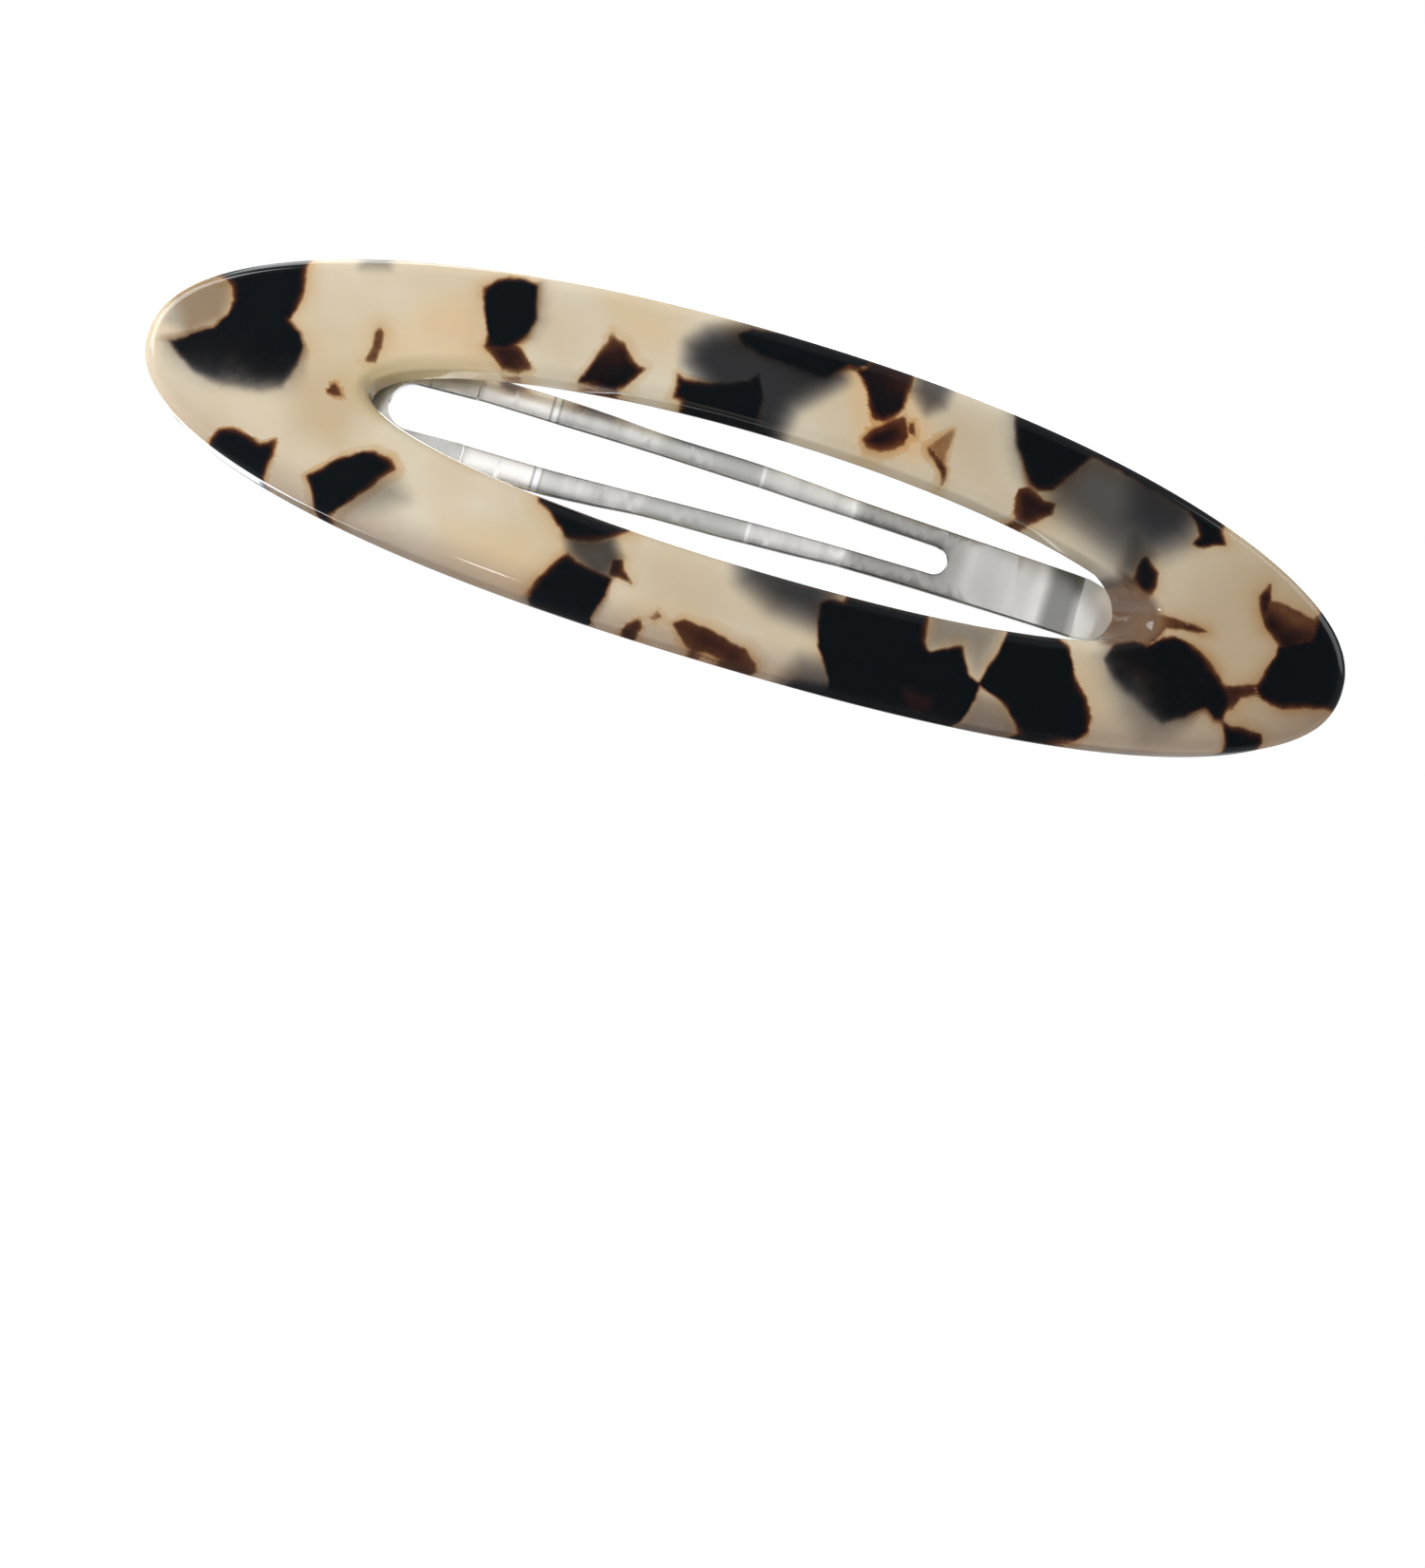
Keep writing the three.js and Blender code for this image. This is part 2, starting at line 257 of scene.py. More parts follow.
# The acetate is cream with flakes of dark sheet set in it. "edge" is a flake's outline on the level strip,
# as x and height. "dense" is how dark it is, about 2 for a thin brown one and 8 for black. "sink" says how
# far it drops under the cream, from 0 at the face to 1 out of sight. Two values run from "start" to "end".
flakes = [
    # left end
    {"dense": 8, "sink": (0, 1), "start": (-29.6, 2.4), "end": (-29.0, -2.9),
     "edge": [(-33.75, -0.4), (-32.6, 0.2), (-31.4, 1.0), (-30.75, 1.9), (-30.65, 2.8), (-31.0, 3.5),
        (-31.6, 3.8), (-32.4, 3.9), (-31, 5.8), (-27.2, 7.4), (-27.3, 5.6), (-27.05, 4.3), (-27.15, 3.2),
        (-27.4, 2.6), (-26.5, 2.0), (-26.1, 1.2), (-26.1, 0.2), (-26.5, -1.2), (-27.6, -2.0), (-30, -2.4),
        (-31.8, -1.9), (-32.8, -1.15)]},
    {"dense": 5,
     "edge": [(-34.4, 1.8), (-34.1, 2.2), (-33.6, 2.8), (-32.9, 3.5), (-32.2, 3.95), (-32.6, 5),
        (-35, 4)]},
    {"dense": 1.9,
     "edge": [(-22.7, 1.65), (-22.15, 1.75), (-22.05, 2.6), (-22.2, 3.4), (-22.45, 3.6), (-22.6, 3.3),
        (-22.5, 2.5)]},
    {"dense": 2.5,
     "edge": [(-24.25, -0.6), (-24.05, -0.05), (-23.8, -0.15), (-23.35, -0.6), (-23.8, -0.7)]},
    {"dense": 8,
     "edge": [(-29.9, -5.4), (-29.4, -4.3), (-28.6, -3.95), (-27.7, -4.15), (-27.0, -4.4), (-26.15, -3.9),
        (-26.15, -4.8), (-26.4, -6.9), (-27, -8), (-30.5, -6.5)]},
    {"dense": 8,
     "edge": [(-24.0, -5.35), (-23.2, -4.6), (-22.4, -3.8), (-21.6, -3.3), (-20.7, -3.0), (-19.8, -3.15),
        (-19.35, -3.6), (-20.0, -4.3), (-20.6, -5.2), (-21.4, -6.1), (-22.0, -6.9), (-22.6, -7.1),
        (-23.1, -7.0), (-23.4, -6.2)]},
    # top
    {"dense": 8, "sink": (0, 0.6), "start": (-15, 6.5), "end": (-13.6, 6.6),
     "edge": [(-17.55, 7.35), (-17.0, 7.9), (-16.4, 8.25), (-15.6, 8.4), (-14.6, 8.4), (-14.35, 7.6),
        (-14.0, 6.6), (-14.3, 5.6), (-14.8, 4.9), (-15.4, 4.4), (-16.5, 4.2), (-16.6, 5.0),
        (-17.1, 6.0)]},
    {"dense": 3,
     "edge": [(-16.6, 4.3), (-15.0, 4.9), (-14.55, 4.7), (-13.65, 3.9), (-14.4, 3.5), (-15.3, 3.4),
        (-16.0, 3.95)]},
    {"dense": (2.4, 5.5), "start": (-9.7, 6.6), "end": (-9.3, 4.3),
     "edge": [(-11.0, 4.0), (-10.6, 4.9), (-10.2, 6.0), (-9.9, 7.05), (-9.6, 6.75), (-9.1, 6.65),
        (-8.4, 5.85), (-8.0, 5.6), (-7.5, 5.65), (-7.9, 5.1), (-8.4, 4.4), (-8.9, 4.1), (-10.3, 4.0)]},
    {"dense": 8,
     "edge": [(-5.75, 5.9), (-5.3, 5.7), (-4.4, 5.8), (-3.4, 5.95), (-2.6, 6.2), (-1.8, 6.6),
        (-1.3, 7.25), (-0.95, 6.4), (-0.75, 5.6), (-0.85, 3.4), (-4.5, 3.4), (-5.1, 4.5), (-5.6, 4.6),
        (-5.6, 5.2)]},
    {"dense": 8, "sink": (0, 0.8), "start": (1, 8.9), "end": (1.3, 6.8),
     "edge": [(-3.1, 8.9), (-2.4, 9.4), (-1, 9.7), (0, 10.8), (8, 10.8), (4.4, 9.2), (3.2, 8.7),
        (2.4, 7.8), (0.5, 8.0), (-1.5, 8.2), (-2.6, 8.4)]},
    {"dense": 2, "edge": [(2.9, 8.7), (3.1, 9.2), (4.5, 9.4), (4.1, 8.9)]},
    {"dense": (5, 3.4), "start": (5.8, 7.6), "end": (6.0, 9.4),
     "edge": [(3.9, 8.9), (4.4, 9.2), (4.4, 10.6), (7.2, 10.6), (7.15, 8.6), (7.1, 7.6), (6.7, 7.0),
        (6.3, 6.6), (5.6, 6.6), (5.2, 7.2), (4.9, 7.9), (4.4, 8.4)]},
    {"dense": (4.6, 1.8), "start": (6.2, 5.6), "end": (7.4, 6.9),
     "edge": [(5.35, 5.3), (5.6, 5.9), (6.2, 6.4), (6.8, 6.9), (7.3, 7.2), (7.5, 6.8), (7.75, 6.2),
        (7.6, 5.7), (7.2, 5.3), (6.4, 5.0), (5.7, 5.0)]},
    {"dense": 2, "edge": [(7.6, 6.9), (7.85, 7.1), (8.0, 6.6), (8.1, 6.35), (7.75, 6.4)]},
    {"dense": 3.4,
     "edge": [(8.95, 5.9), (9.1, 5.65), (9.6, 5.3), (10.05, 4.9), (10.2, 4.7), (10.4, 4.3), (10.45, 4.5),
        (10.25, 5.1), (9.75, 5.55), (9.15, 6.0)]},
    {"dense": 0.6,
     "edge": [(9.0, 5.95), (9.5, 6.6), (10.15, 7.3), (10.15, 6.4), (10.1, 5.3), (9.6, 5.6)]},
    {"dense": 8, "sink": (0, 0.85), "start": (15.3, 7.2), "end": (12.9, 6.4),
     "edge": [(13.1, 9.9), (13.15, 8.6), (13.6, 7.4), (14.4, 6.2), (14.9, 5.6), (15.6, 5.4), (16.4, 5.7),
        (17.2, 6.8), (17.5, 7.4), (18.1, 8.1), (18.4, 9.4)]},
    {"dense": 3.2,
     "edge": [(14.5, 4.6), (14.55, 5.1), (15.0, 5.4), (15.5, 5.3), (16.1, 4.9), (16.7, 4.9), (16.75, 4.3),
        (16.3, 4.0), (15.7, 3.5), (15.1, 3.5), (14.75, 3.9)]},
    {"dense": 5, "edge": [(18.0, 8.1), (20, 7.7), (22, 7.25), (24, 6.8), (25, 6.5), (25, 8), (18, 9.4)]},
    {"dense": 8,
     "edge": [(24.8, 5.05), (25.0, 5.6), (24.7, 6.2), (24.2, 6.6), (24.5, 7.8), (26.4, 7), (26.15, 6.2),
        (26.6, 5.5), (26.0, 5.35), (25.5, 5.1), (25.1, 4.95)]},
    # bottom
    {"dense": 8,
     "edge": [(-11.6, -1.8), (-11.2, -3.05), (-10.4, -3.5), (-9.6, -4.1), (-9.2, -4.5), (-8.4, -4.45),
        (-7.4, -4.2), (-6.6, -3.7), (-5.9, -3.2), (-5.7, -1.8)]},
    {"dense": 2.8,
     "edge": [(-6.3, -4.9), (-5.8, -4.8), (-5.6, -5.3), (-4.95, -5.85), (-5.6, -5.7), (-6.2, -5.8)]},
    {"dense": 8, "sink": (0, 0.7), "start": (-7.4, -7.5), "end": (-5.6, -9.0),
     "edge": [(-8.9, -5.2), (-8.2, -5.6), (-7.0, -5.85), (-6.1, -5.95), (-6.15, -6.9), (-6.4, -7.8),
        (-6.6, -8.4), (-6.9, -10), (-10.8, -10), (-10.45, -8.2), (-10.1, -7.2), (-9.6, -6.3)]},
    {"dense": 2.8,
     "edge": [(-5.0, -8.7), (-4.5, -8.0), (-3.9, -7.6), (-3.7, -8.0), (-4.0, -8.5), (-4.3, -10),
        (-5.2, -10)]},
    {"dense": 2, "edge": [(-3.4, -7.35), (-3.1, -6.9), (-2.85, -7.15), (-3.2, -7.45)]},
    {"dense": 2.1,
     "edge": [(-2.1, -7.35), (-1.6, -6.95), (-0.8, -7.05), (0.2, -7.05), (1.2, -7.4), (2.2, -7.55),
        (2.8, -8.0), (3.4, -8.5), (2.6, -8.6), (1.8, -8.55), (1.0, -8.3), (0.2, -8.2), (-0.6, -8.4),
        (-1.1, -8.1), (-1.6, -7.7)]},
    {"dense": 3, "edge": [(4.6, -8.6), (5.4, -8.5), (6, -9.0), (5.6, -10), (4.8, -10)]},
    {"dense": 8,
     "edge": [(5.6, -4.0), (6.0, -3.6), (6.8, -3.5), (7.2, -1.8), (11.6, -1.8), (11.7, -3.6),
        (11.85, -4.4), (12.1, -4.85), (12.8, -4.5), (13.9, -3.95), (14.2, -4.6), (14.6, -5.4),
        (15.4, -5.7), (15.4, -6.6), (15.0, -8.0), (14.7, -10), (7.6, -10), (7.3, -8.0), (6.6, -6.9),
        (6.1, -6.3), (5.7, -5.0)]},
    {"dense": 8,
     "edge": [(16.2, -2.2), (18, -1.2), (18.9, -1.8), (19.6, -2.4), (20.1, -3.2), (20.5, -4.0),
        (21.3, -4.8), (21.8, -5.6), (21.9, -6.6), (21.4, -7.2), (20.4, -7.5), (19.7, -8.2), (18.4, -9),
        (18.3, -7.6), (17.6, -7.0), (16.8, -6.3), (15.9, -6.0), (15.3, -5.8), (15.5, -4.8),
        (16.0, -3.6)]},
    # right end
    {"dense": 5,
     "edge": [(22.05, 2.9), (22.2, 3.4), (22.5, 3.65), (22.9, 3.2), (23.3, 2.9), (23.4, 2.2), (23.3, 1.5),
        (22.95, 1.2), (22.5, 1.5), (22.2, 1.9)]},
    {"dense": 4, "edge": [(25.4, 0.55), (25.9, 0.8), (26.8, 0.6), (26.3, 0.4), (25.7, 0.35)]},
    {"dense": 1.6,
     "edge": [(22.6, 0.2), (24.2, 0.75), (25.6, 0.75), (25.6, 0.4), (24.6, 0.15), (24.4, -0.4),
        (23.8, -1.2), (22.7, -0.9)]},
    {"dense": 6.8, "sink": (0, 0.9), "start": (26, -1.8), "end": (24.2, -5.6),
     "edge": [(22.9, -0.6), (23.8, -1.1), (24.5, -0.4), (25.2, -0.2), (26.2, -0.3), (27.2, -0.8),
        (28.0, -1.5), (28.7, -2.1), (29.1, -2.9), (28.95, -3.9), (28.6, -4.0), (27.8, -3.5), (27.0, -4.4),
        (25.8, -5.2), (24.6, -4.8), (23.2, -4.2), (22.2, -3.6), (21.5, -2.5), (22.2, -1.0)]},
    {"dense": 2.4,
     "edge": [(28.6, -2.0), (29.3, -1.8), (30.2, -1.4), (30.4, -2.0), (29.6, -2.3), (29.3, -3.2),
        (28.9, -3.0)]},
    {"dense": 8,
     "edge": [(30.9, 1.0), (30.9, 0.4), (30.6, -0.4), (30.3, -1.6), (30.6, -2.0), (31.4, -2.3),
        (32.0, -2.35), (33.2, -1.9), (36, -1.3), (36, 2.6), (33.0, 4.2), (32.75, 3.0), (32.6, 1.9),
        (31.6, 1.4)]},
    {"dense": 4,
     "edge": [(29.2, 3.3), (29.55, 4.15), (29.8, 3.4), (30.0, 2.6), (29.7, 2.1), (29.4, 2.6)]},
    {"dense": (1.3, 4.2), "start": (31.4, 2.9), "end": (31.2, 1.2),
     "edge": [(29.6, 3.3), (30.6, 3.3), (31.6, 3.1), (32.5, 2.9), (32.8, 3.4), (32.9, 2.0), (32.6, 1.6),
        (31.2, 0.8), (30.6, 1.3), (29.9, 1.8), (29.5, 2.4)]},
    {"dense": (3.6, 8), "start": (30.6, -4.1), "end": (30.4, -5.0),
     "edge": [(28.95, -3.9), (29.5, -4.1), (30.2, -3.95), (31.2, -4.0), (31.5, -4.4), (31.5, -5.0),
        (31.8, -6), (29.6, -6.6), (29.6, -5.4), (29.3, -4.7)]},
]

# Patches are a strength, how softly they end in millimetres, and an outline.
# Shards lower down, seen as smoke through the cream in front of them, and one painted soft shadow beside a
# black flake.
deepFlakesAndShadow = [
    (0.6, 0.45, [(-33.9, 2.2), (-32.3, 3.8), (-31.2, 3.7), (-30.8, 2.6), (-31, 1.6), (-32.6, 0.3),
        (-34, 0.6)]),
    (0.9, 0.5, [(-24.4, 6.5), (-22.9, 6.9), (-23, 8), (-24.6, 7.6)]),
    # painted shadow: soft shade cast to the right of the black flake near (-22, -5)
    (0.8, 0.9, [(-21.5, -4), (-19.2, -4.2), (-18.4, -5), (-19.5, -5.8), (-21.5, -6.6)]),
    (3.2, 1.0, [(-5.4, 7.6), (-4.6, 8.5), (-2.6, 9.4), (2.3, 9.5), (3.2, 8.2), (2.2, 7.2), (1.0, 6.0),
        (0.4, 3.6), (-1, 3.6), (-3.5, 5.4), (-5.2, 6.7)]),
    (1.8, 0.6, [(7.4, 8.7), (8.4, 7.8), (9.2, 8.4), (9.4, 10), (7.4, 10)]),
    (2.2, 0.5, [(-9.2, -4.3), (-8.7, -5.2), (-7.2, -6.0), (-6.3, -5.9), (-6.0, -4.7), (-6.7, -3.8),
        (-8, -4.2)]),
    (3.0, 1.3, [(0.6, -2.2), (6.2, -2.2), (6.0, -5.0), (3.2, -4.7), (1.2, -3.8)]),
    (4, 0.5, [(5.6, -8.5), (9, -8.1), (13, -8.5), (14.6, -8.2), (14.6, -10), (5, -10)]),
    (1.4, 0.9, [(5.4, -7.2), (7.6, -7.0), (8.2, -9), (4.6, -9)]),
    (0.6, 0.6, [(15.2, -6.2), (17.0, -6.4), (18.6, -7.8), (18.2, -9), (14.8, -9)]),
    (0.9, 0.8, [(11.6, -2.4), (15.8, -2.4), (15.0, -5.0), (14, -3.8), (12, -4.6)]),
    (2.0, 1.4, [(15.2, 9.2), (19.5, 8.6), (22, 8), (24.6, 7), (24.4, 5.4), (23.4, 4.4), (22.4, 3.8),
        (21.6, 2.6), (20.8, 3.2), (19.0, 4.0), (16.6, 4.9), (15.4, 6.8)]),
    (1.2, 1.2, [(20.4, 8.8), (24.9, 7.4), (24.0, 5.4), (22.5, 4.6), (21, 5.4)]),
    (0.9, 0.6, [(21.6, 4.4), (22.8, 3.8), (22.2, 2.2), (21.4, 2.8)]),
    (0.8, 1.3, [(22.8, -3.6), (27.3, -3.6), (26.2, -5.2), (25, -6.0), (23.6, -5.0)]),
]

# Clear places in a flake, where the cream shows through it.
windows = [
    (0.6, 0.45, [(11.3, -7.1), (13.3, -6.9), (13.4, -8.4), (11.7, -8.5)]),
    (0.35, 0.8, [(23.2, -2.6), (24.4, -2.6), (24.6, -4.4), (23.6, -4.2)]),
]

warmPatches = [
    (0.8, 1.3, [(-22, 2.4), (-20.5, 5.6), (-18.4, 6.4), (-16.6, 4.4), (-16, 2.6)]),
    (0.5, 1.3, [(-11.5, 9), (-6, 9.3), (-6.2, 6), (-9, 6.8)]),
    (1.0, 0.9, [(3.2, 8.8), (8.0, 8.8), (9.2, 6.6), (8.8, 4.9), (5.2, 4.9)]),
    (0.7, 1.2, [(-16, -5.4), (-10.6, -4.8), (-10.8, -8.6), (-15.5, -8.6)]),
    (0.6, 1.0, [(-6, -9), (-5, -6.4), (-1.5, -6.6), (3.4, -8.8), (-1, -10)]),
    (0.7, 0.9, [(20, -2), (21.4, -3), (22.4, -5), (22.6, -8), (20, -8)]),
    (0.7, 0.8, [(28.6, -2.6), (30.4, -2.4), (31.6, -3), (30, -4), (29, -4)]),
]

# Places where the cream is darker and tan.
tanPatches = [
    (0.9, 1.4, [(-27, 0), (-25.5, -3.4), (-22.6, -3.6), (-21.5, -1), (-23.5, 1)]),
    (0.35, 1.6, [(-14.6, 7.6), (-11.5, 8), (-11.5, 4.4), (-13.6, 4.4)]),
    # the right end, darkened all over
    (0.75, 2.5, [(24, -9), (36, -9), (36, 6), (29, 6), (25, 4), (24, 1)]),
    (0.5, 1.5, [(22, -2), (24, -5), (24, -9), (19, -9), (20.6, -4)]),
    (0.35, 1.5, [(-5, -4), (4, -4), (4, -7), (-4, -7)]),
    (0.4, 1.2, [(11.6, -2.4), (16, -2.4), (15.4, -5.6), (14, -4.4), (12, -5)]),
    (0.8, 0.7, [(15.2, -6.2), (17.0, -6.4), (18.6, -7.8), (18.2, -9), (14.8, -9)]),
    (1.1, 0.5, [(-33.9, 2.2), (-32.3, 3.8), (-31.2, 3.7), (-31, 1.6), (-32.6, 0.3)]),
    (0.35, 2.0, [(-28, 1), (-27.4, 5.5), (-24, 5.5), (-23.4, 1)]),
    (0.5, 1.5, [(8.8, 8.6), (12.6, 8.6), (14, 5.6), (17, 3), (10.6, 4.6)]),
]

# The adhesive under the ring's left end shows through as a clear yellow rim round the opening.
yellowPatches = [
    (1.0, 0.7, [(-24, 0.3), (-22.4, 1.6), (-20, 2.4), (-16, 3.3), (-14, 3.4), (-14, 2), (-20, 0),
        (-21, -1.4), (-23, -0.8)]),
]


def onFace(x, height):
    slid = x - drawing["slide"] * math.exp(-((x - drawing["slideX"]) / drawing["slideSpread"]) ** 2)
    return slid, (height - drawing["rise"] + drawing["bow"] * x * x) / drawing["squash"]


def edgeDistance(x, z, edge):
    # signed distance to a closed outline, less than nothing inside
    corners = [onFace(px, py) for px, py in edge]
    best = np.full(x.shape, 1e9)
    inside = np.zeros(x.shape, dtype=bool)
    for (ax, az), (bx, bz) in zip(corners, corners[1:] + corners[:1]):
        ex, ez = bx - ax, bz - az
        t = np.clip(((x - ax) * ex + (z - az) * ez) / (ex * ex + ez * ez), 0, 1)
        best = np.minimum(best, np.hypot(x - ax - t * ex, z - az - t * ez))
        if az != bz:
            inside ^= ((az > z) != (bz > z)) & (x < ax + (z - az) * ex / ez)
    return np.where(inside, -best, best)


def along(flake, key, default, x, z):
    # a flake's value at each vertex: one number, or two that run between its start and its end
    value = flake.get(key, default)
    if not isinstance(value, tuple):
        return np.full(x.shape, float(value))
    (ax, az), (bx, bz) = onFace(*flake["start"]), onFace(*flake["end"])
    t = ((x - ax) * (bx - ax) + (z - az) * (bz - az)) / ((bx - ax) ** 2 + (bz - az) ** 2)
    t = np.clip(t, 0, 1)
    return value[0] + (value[1] - value[0]) * t * t * (3 - 2 * t)


def patchSum(x, z, patches):
    total = 0
    for strength, blur, edge in patches:
        t = np.clip(0.5 - 0.5 * edgeDistance(x, z, edge) / blur, 0, 1)
        total += t * t * (3 - 2 * t) * strength
    return total


def outwardness(x, z, halfLength, halfHeight, power):
    # 1 on an oval outline, less inside it
    return (np.abs(x / halfLength) ** power + np.abs(z / halfHeight) ** power) ** (1 / power)


def flakeFields(flat, thickness):
    # what the acetate's material reads at each vertex
    x, depth, z = flat[:, 0] / mm, flat[:, 1] / thickness, flat[:, 2] / mm
    score = np.full(len(x), 1e9)
    fields = {name: np.zeros(len(x)) for name in ("flakeGap", "flakeSoft", "flakeDense", "flakeSink")}
    for flake in flakes:
        gap = edgeDistance(x, z, flake["edge"])
        sink = along(flake, "sink", 0.0, x, z)
        sink = np.abs(sink - depth) if "sink" in flake else sink  # a sunk side is sharp at the back
        soft = drawing["sharp"] + drawing["sunkBlur"] * sink
        mine = gap / soft < score
        score = np.where(mine, gap / soft, score)
        dense = along(flake, "dense", 6.0, x, z)
        for name, value in zip(fields, (gap, soft, dense, sink)):
            fields[name] = np.where(mine, value, fields[name])
    # smoke from sunk shards, and the painted shadow beside the black flake
    fields["smoke"] = patchSum(x, z, deepFlakesAndShadow) * (1 + 0.8 * depth)
    fields["clear"] = patchSum(x, z, windows) * (1 - depth)
    fields["warm"] = patchSum(x, z, warmPatches)
    fields["tan"] = patchSum(x, z, tanPatches)
    fields["yellow"] = patchSum(x, z, yellowPatches)
    # painted shade: the cream darkens round the lower rim, and more so towards the right end
    halfHeight = (ringBox[1].z - ringBox[0].z) / 2 / mm
    outward = outwardness(x, z, ring["halfLength"], halfHeight, ring["ovalPower"])
    lower = np.clip(0.35 - z / 8 + x / 90, 0, 1)
    fields["rim"] = ring["rimShare"] * lower * np.clip((outward - 0.8) / 0.2, 0, 1) ** 1.5
    # and clear of flakes at the wall where the opening ends on the right, where the cream is swapped for a
    # painted dark shade
    inward = outwardness(x - ring["openingCentre"] / mm, z, ring["openingHalfLength"] / mm,
                         ring["openingHalfHeight"] / mm, 2)
    atWall = np.clip((x - ring["clearFrom"]) / 0.8, 0, 1) * (inward < 1.045)
    fields["endWall"] = atWall * np.clip(depth / 0.08, 0, 1)
    return fields


acetateLook = {
    "cream": (0.72, 0.60, 0.42),
    "pale": (0.79, 0.71, 0.56),
    "peach": (0.76, 0.53, 0.29),
    "yellow": (0.70, 0.56, 0.29),
    "tan": (0.56, 0.40, 0.23),
    "brownDye": (1.0, 1.38, 1.68),  # how strongly a brown shard drinks red, green and blue
    "smokeDye": (1.0, 0.99, 0.9),
    "haloDye": (0.45, 1.0, 1.75),
    "blackest": (0.006, 0.0085, 0.0105),
    "halo": 0.62,
    "haloFall": 2.4,
    "wander": 0.34,  # how far a shard's edge wanders, in millimetres
    "margin": 0.75,  # how far in, in millimetres, a shard reaches its full darkness
    "edgeDense": 1.7,  # how dark its very edge is at most
    "sunkSmoke": 0.8,  # how dark a sunk shard still looks through the cream
    # painted shade for the clear end wall inside the opening
    "paintedEndWallShade": (0.17, 0.108, 0.082),
    # painted shade colour round the lower rim
    "rimShade": (0.30, 0.215, 0.165),
    "edgeNoise": 1100,
    "mottleNoise": 520,
    "bleedNoise": 240,
    "cloudNoise": 130,
    "streakNoise": 380,
    "rippleNoise": 140,
    "dentNoise": 900,
    "roughness": 0.06,
}


def flakeDyes(tree):
    # how much brown, smoke and halo dye lies at a place
    look = acetateLook
    gap, soft = attribute(tree, "flakeGap"), attribute(tree, "flakeSoft")
    dense, sink = attribute(tree, "flakeDense"), attribute(tree, "flakeSink")
    rough = math2(tree, "SUBTRACT", noise(tree, look["edgeNoise"], 4, 0.6), 0.5)
    gap = math2(tree, "ADD", gap, math2(tree, "MULTIPLY", rough, look["wander"]))
    cover = ramp(tree, math2(tree, "DIVIDE", gap, soft), 0.9, -0.9)
    dense = math2(tree, "MULTIPLY", dense, math2(tree, "SUBTRACT", 1.0, attribute(tree, "clear")))
    mottle = ramp(tree, noise(tree, look["mottleNoise"], 4, 0.6, seed=4.1), 0.3, 0.7, 0.82, 1.2)
    # a shard thins to brown towards its edge, in some places more than in others
    bleed = ramp(tree, noise(tree, look["bleedNoise"], 2, 0.5, seed=1.9), 0.3, 0.7, 0.25, 1.0)
    full = ramp(tree, gap, 0.0, math2(tree, "MULTIPLY", bleed, -look["margin"]))
    edge = math2(tree, "MINIMUM", dense, look["edgeDense"])
    inner = math2(tree, "MULTIPLY", math2(tree, "SUBTRACT", dense, edge), full)
    dense = math2(tree, "ADD", edge, inner)
    dark = math2(tree, "MULTIPLY", math2(tree, "MULTIPLY", dense, mottle), cover)
    dark = math2(tree, "MULTIPLY", dark, math2(tree, "SUBTRACT", 1.0, attribute(tree, "endWall")))
    # where it sinks, it turns from brown to smoke and then is lost
    near = math2(tree, "SUBTRACT", 1.0, math2(tree, "POWER", sink, 2.0))
    near = math2(tree, "MULTIPLY", dark, near)
    upper = math2(tree, "POWER", math2(tree, "SUBTRACT", 1.0, sink), 3.0)
    brown = math2(tree, "MULTIPLY", near, upper)
    sunk = math2(tree, "MULTIPLY", math2(tree, "SUBTRACT", near, brown), look["sunkSmoke"])
    smoke = math2(tree, "ADD", attribute(tree, "smoke"), sunk)
    # a warm halo where the dye has bled into the cream
    outside = math2(tree, "MAXIMUM", gap, 0.0)
    reach = math2(tree, "EXPONENT", math2(tree, "MULTIPLY", outside, -look["haloFall"]))
    halo = math2(tree, "MULTIPLY", reach, math2(tree, "MULTIPLY", bleed, look["halo"]))
    halo = math2(tree, "MULTIPLY", halo, ramp(tree, sink, 0.5, 0.05))
    return brown, smoke, halo


def creamBody(tree):
    # cream, cloudy at two scales, with its warm, yellow and tan places, and painted shade round the lower rim
    # and on the end wall
    look = acetateLook
    cloud = noise(tree, look["cloudNoise"], 3, 0.5, seed=0.3)
    body = mixColor(tree, ramp(tree, cloud, 0.3, 0.7), look["cream"], look["pale"])
    streak = noise(tree, look["streakNoise"], 2, 0.5, stretch=(0.35, 1, 1.2), seed=0.7)
    streak = ramp(tree, streak, 0.2, 0.75, 0.5, 1.0)
    warmth = math2(tree, "MULTIPLY", attribute(tree, "warm"), streak, clamp=True)
    body = mixColor(tree, warmth, body, look["peach"])
    for name, share in (("yellow", 0.75), ("tan", 0.8)):
        amount = math2(tree, "MULTIPLY", attribute(tree, name), share, clamp=True)
        body = mixColor(tree, amount, body, look[name])
    # painted shade round the lower rim
    body = mixColor(tree, attribute(tree, "rim"), body, look["rimShade"])
    # painted shade: the end wall inside the opening turns dark and glassy
    atWall = math2(tree, "MULTIPLY", attribute(tree, "endWall"), 0.9)
    return mixColor(tree, atWall, body, look["paintedEndWallShade"])


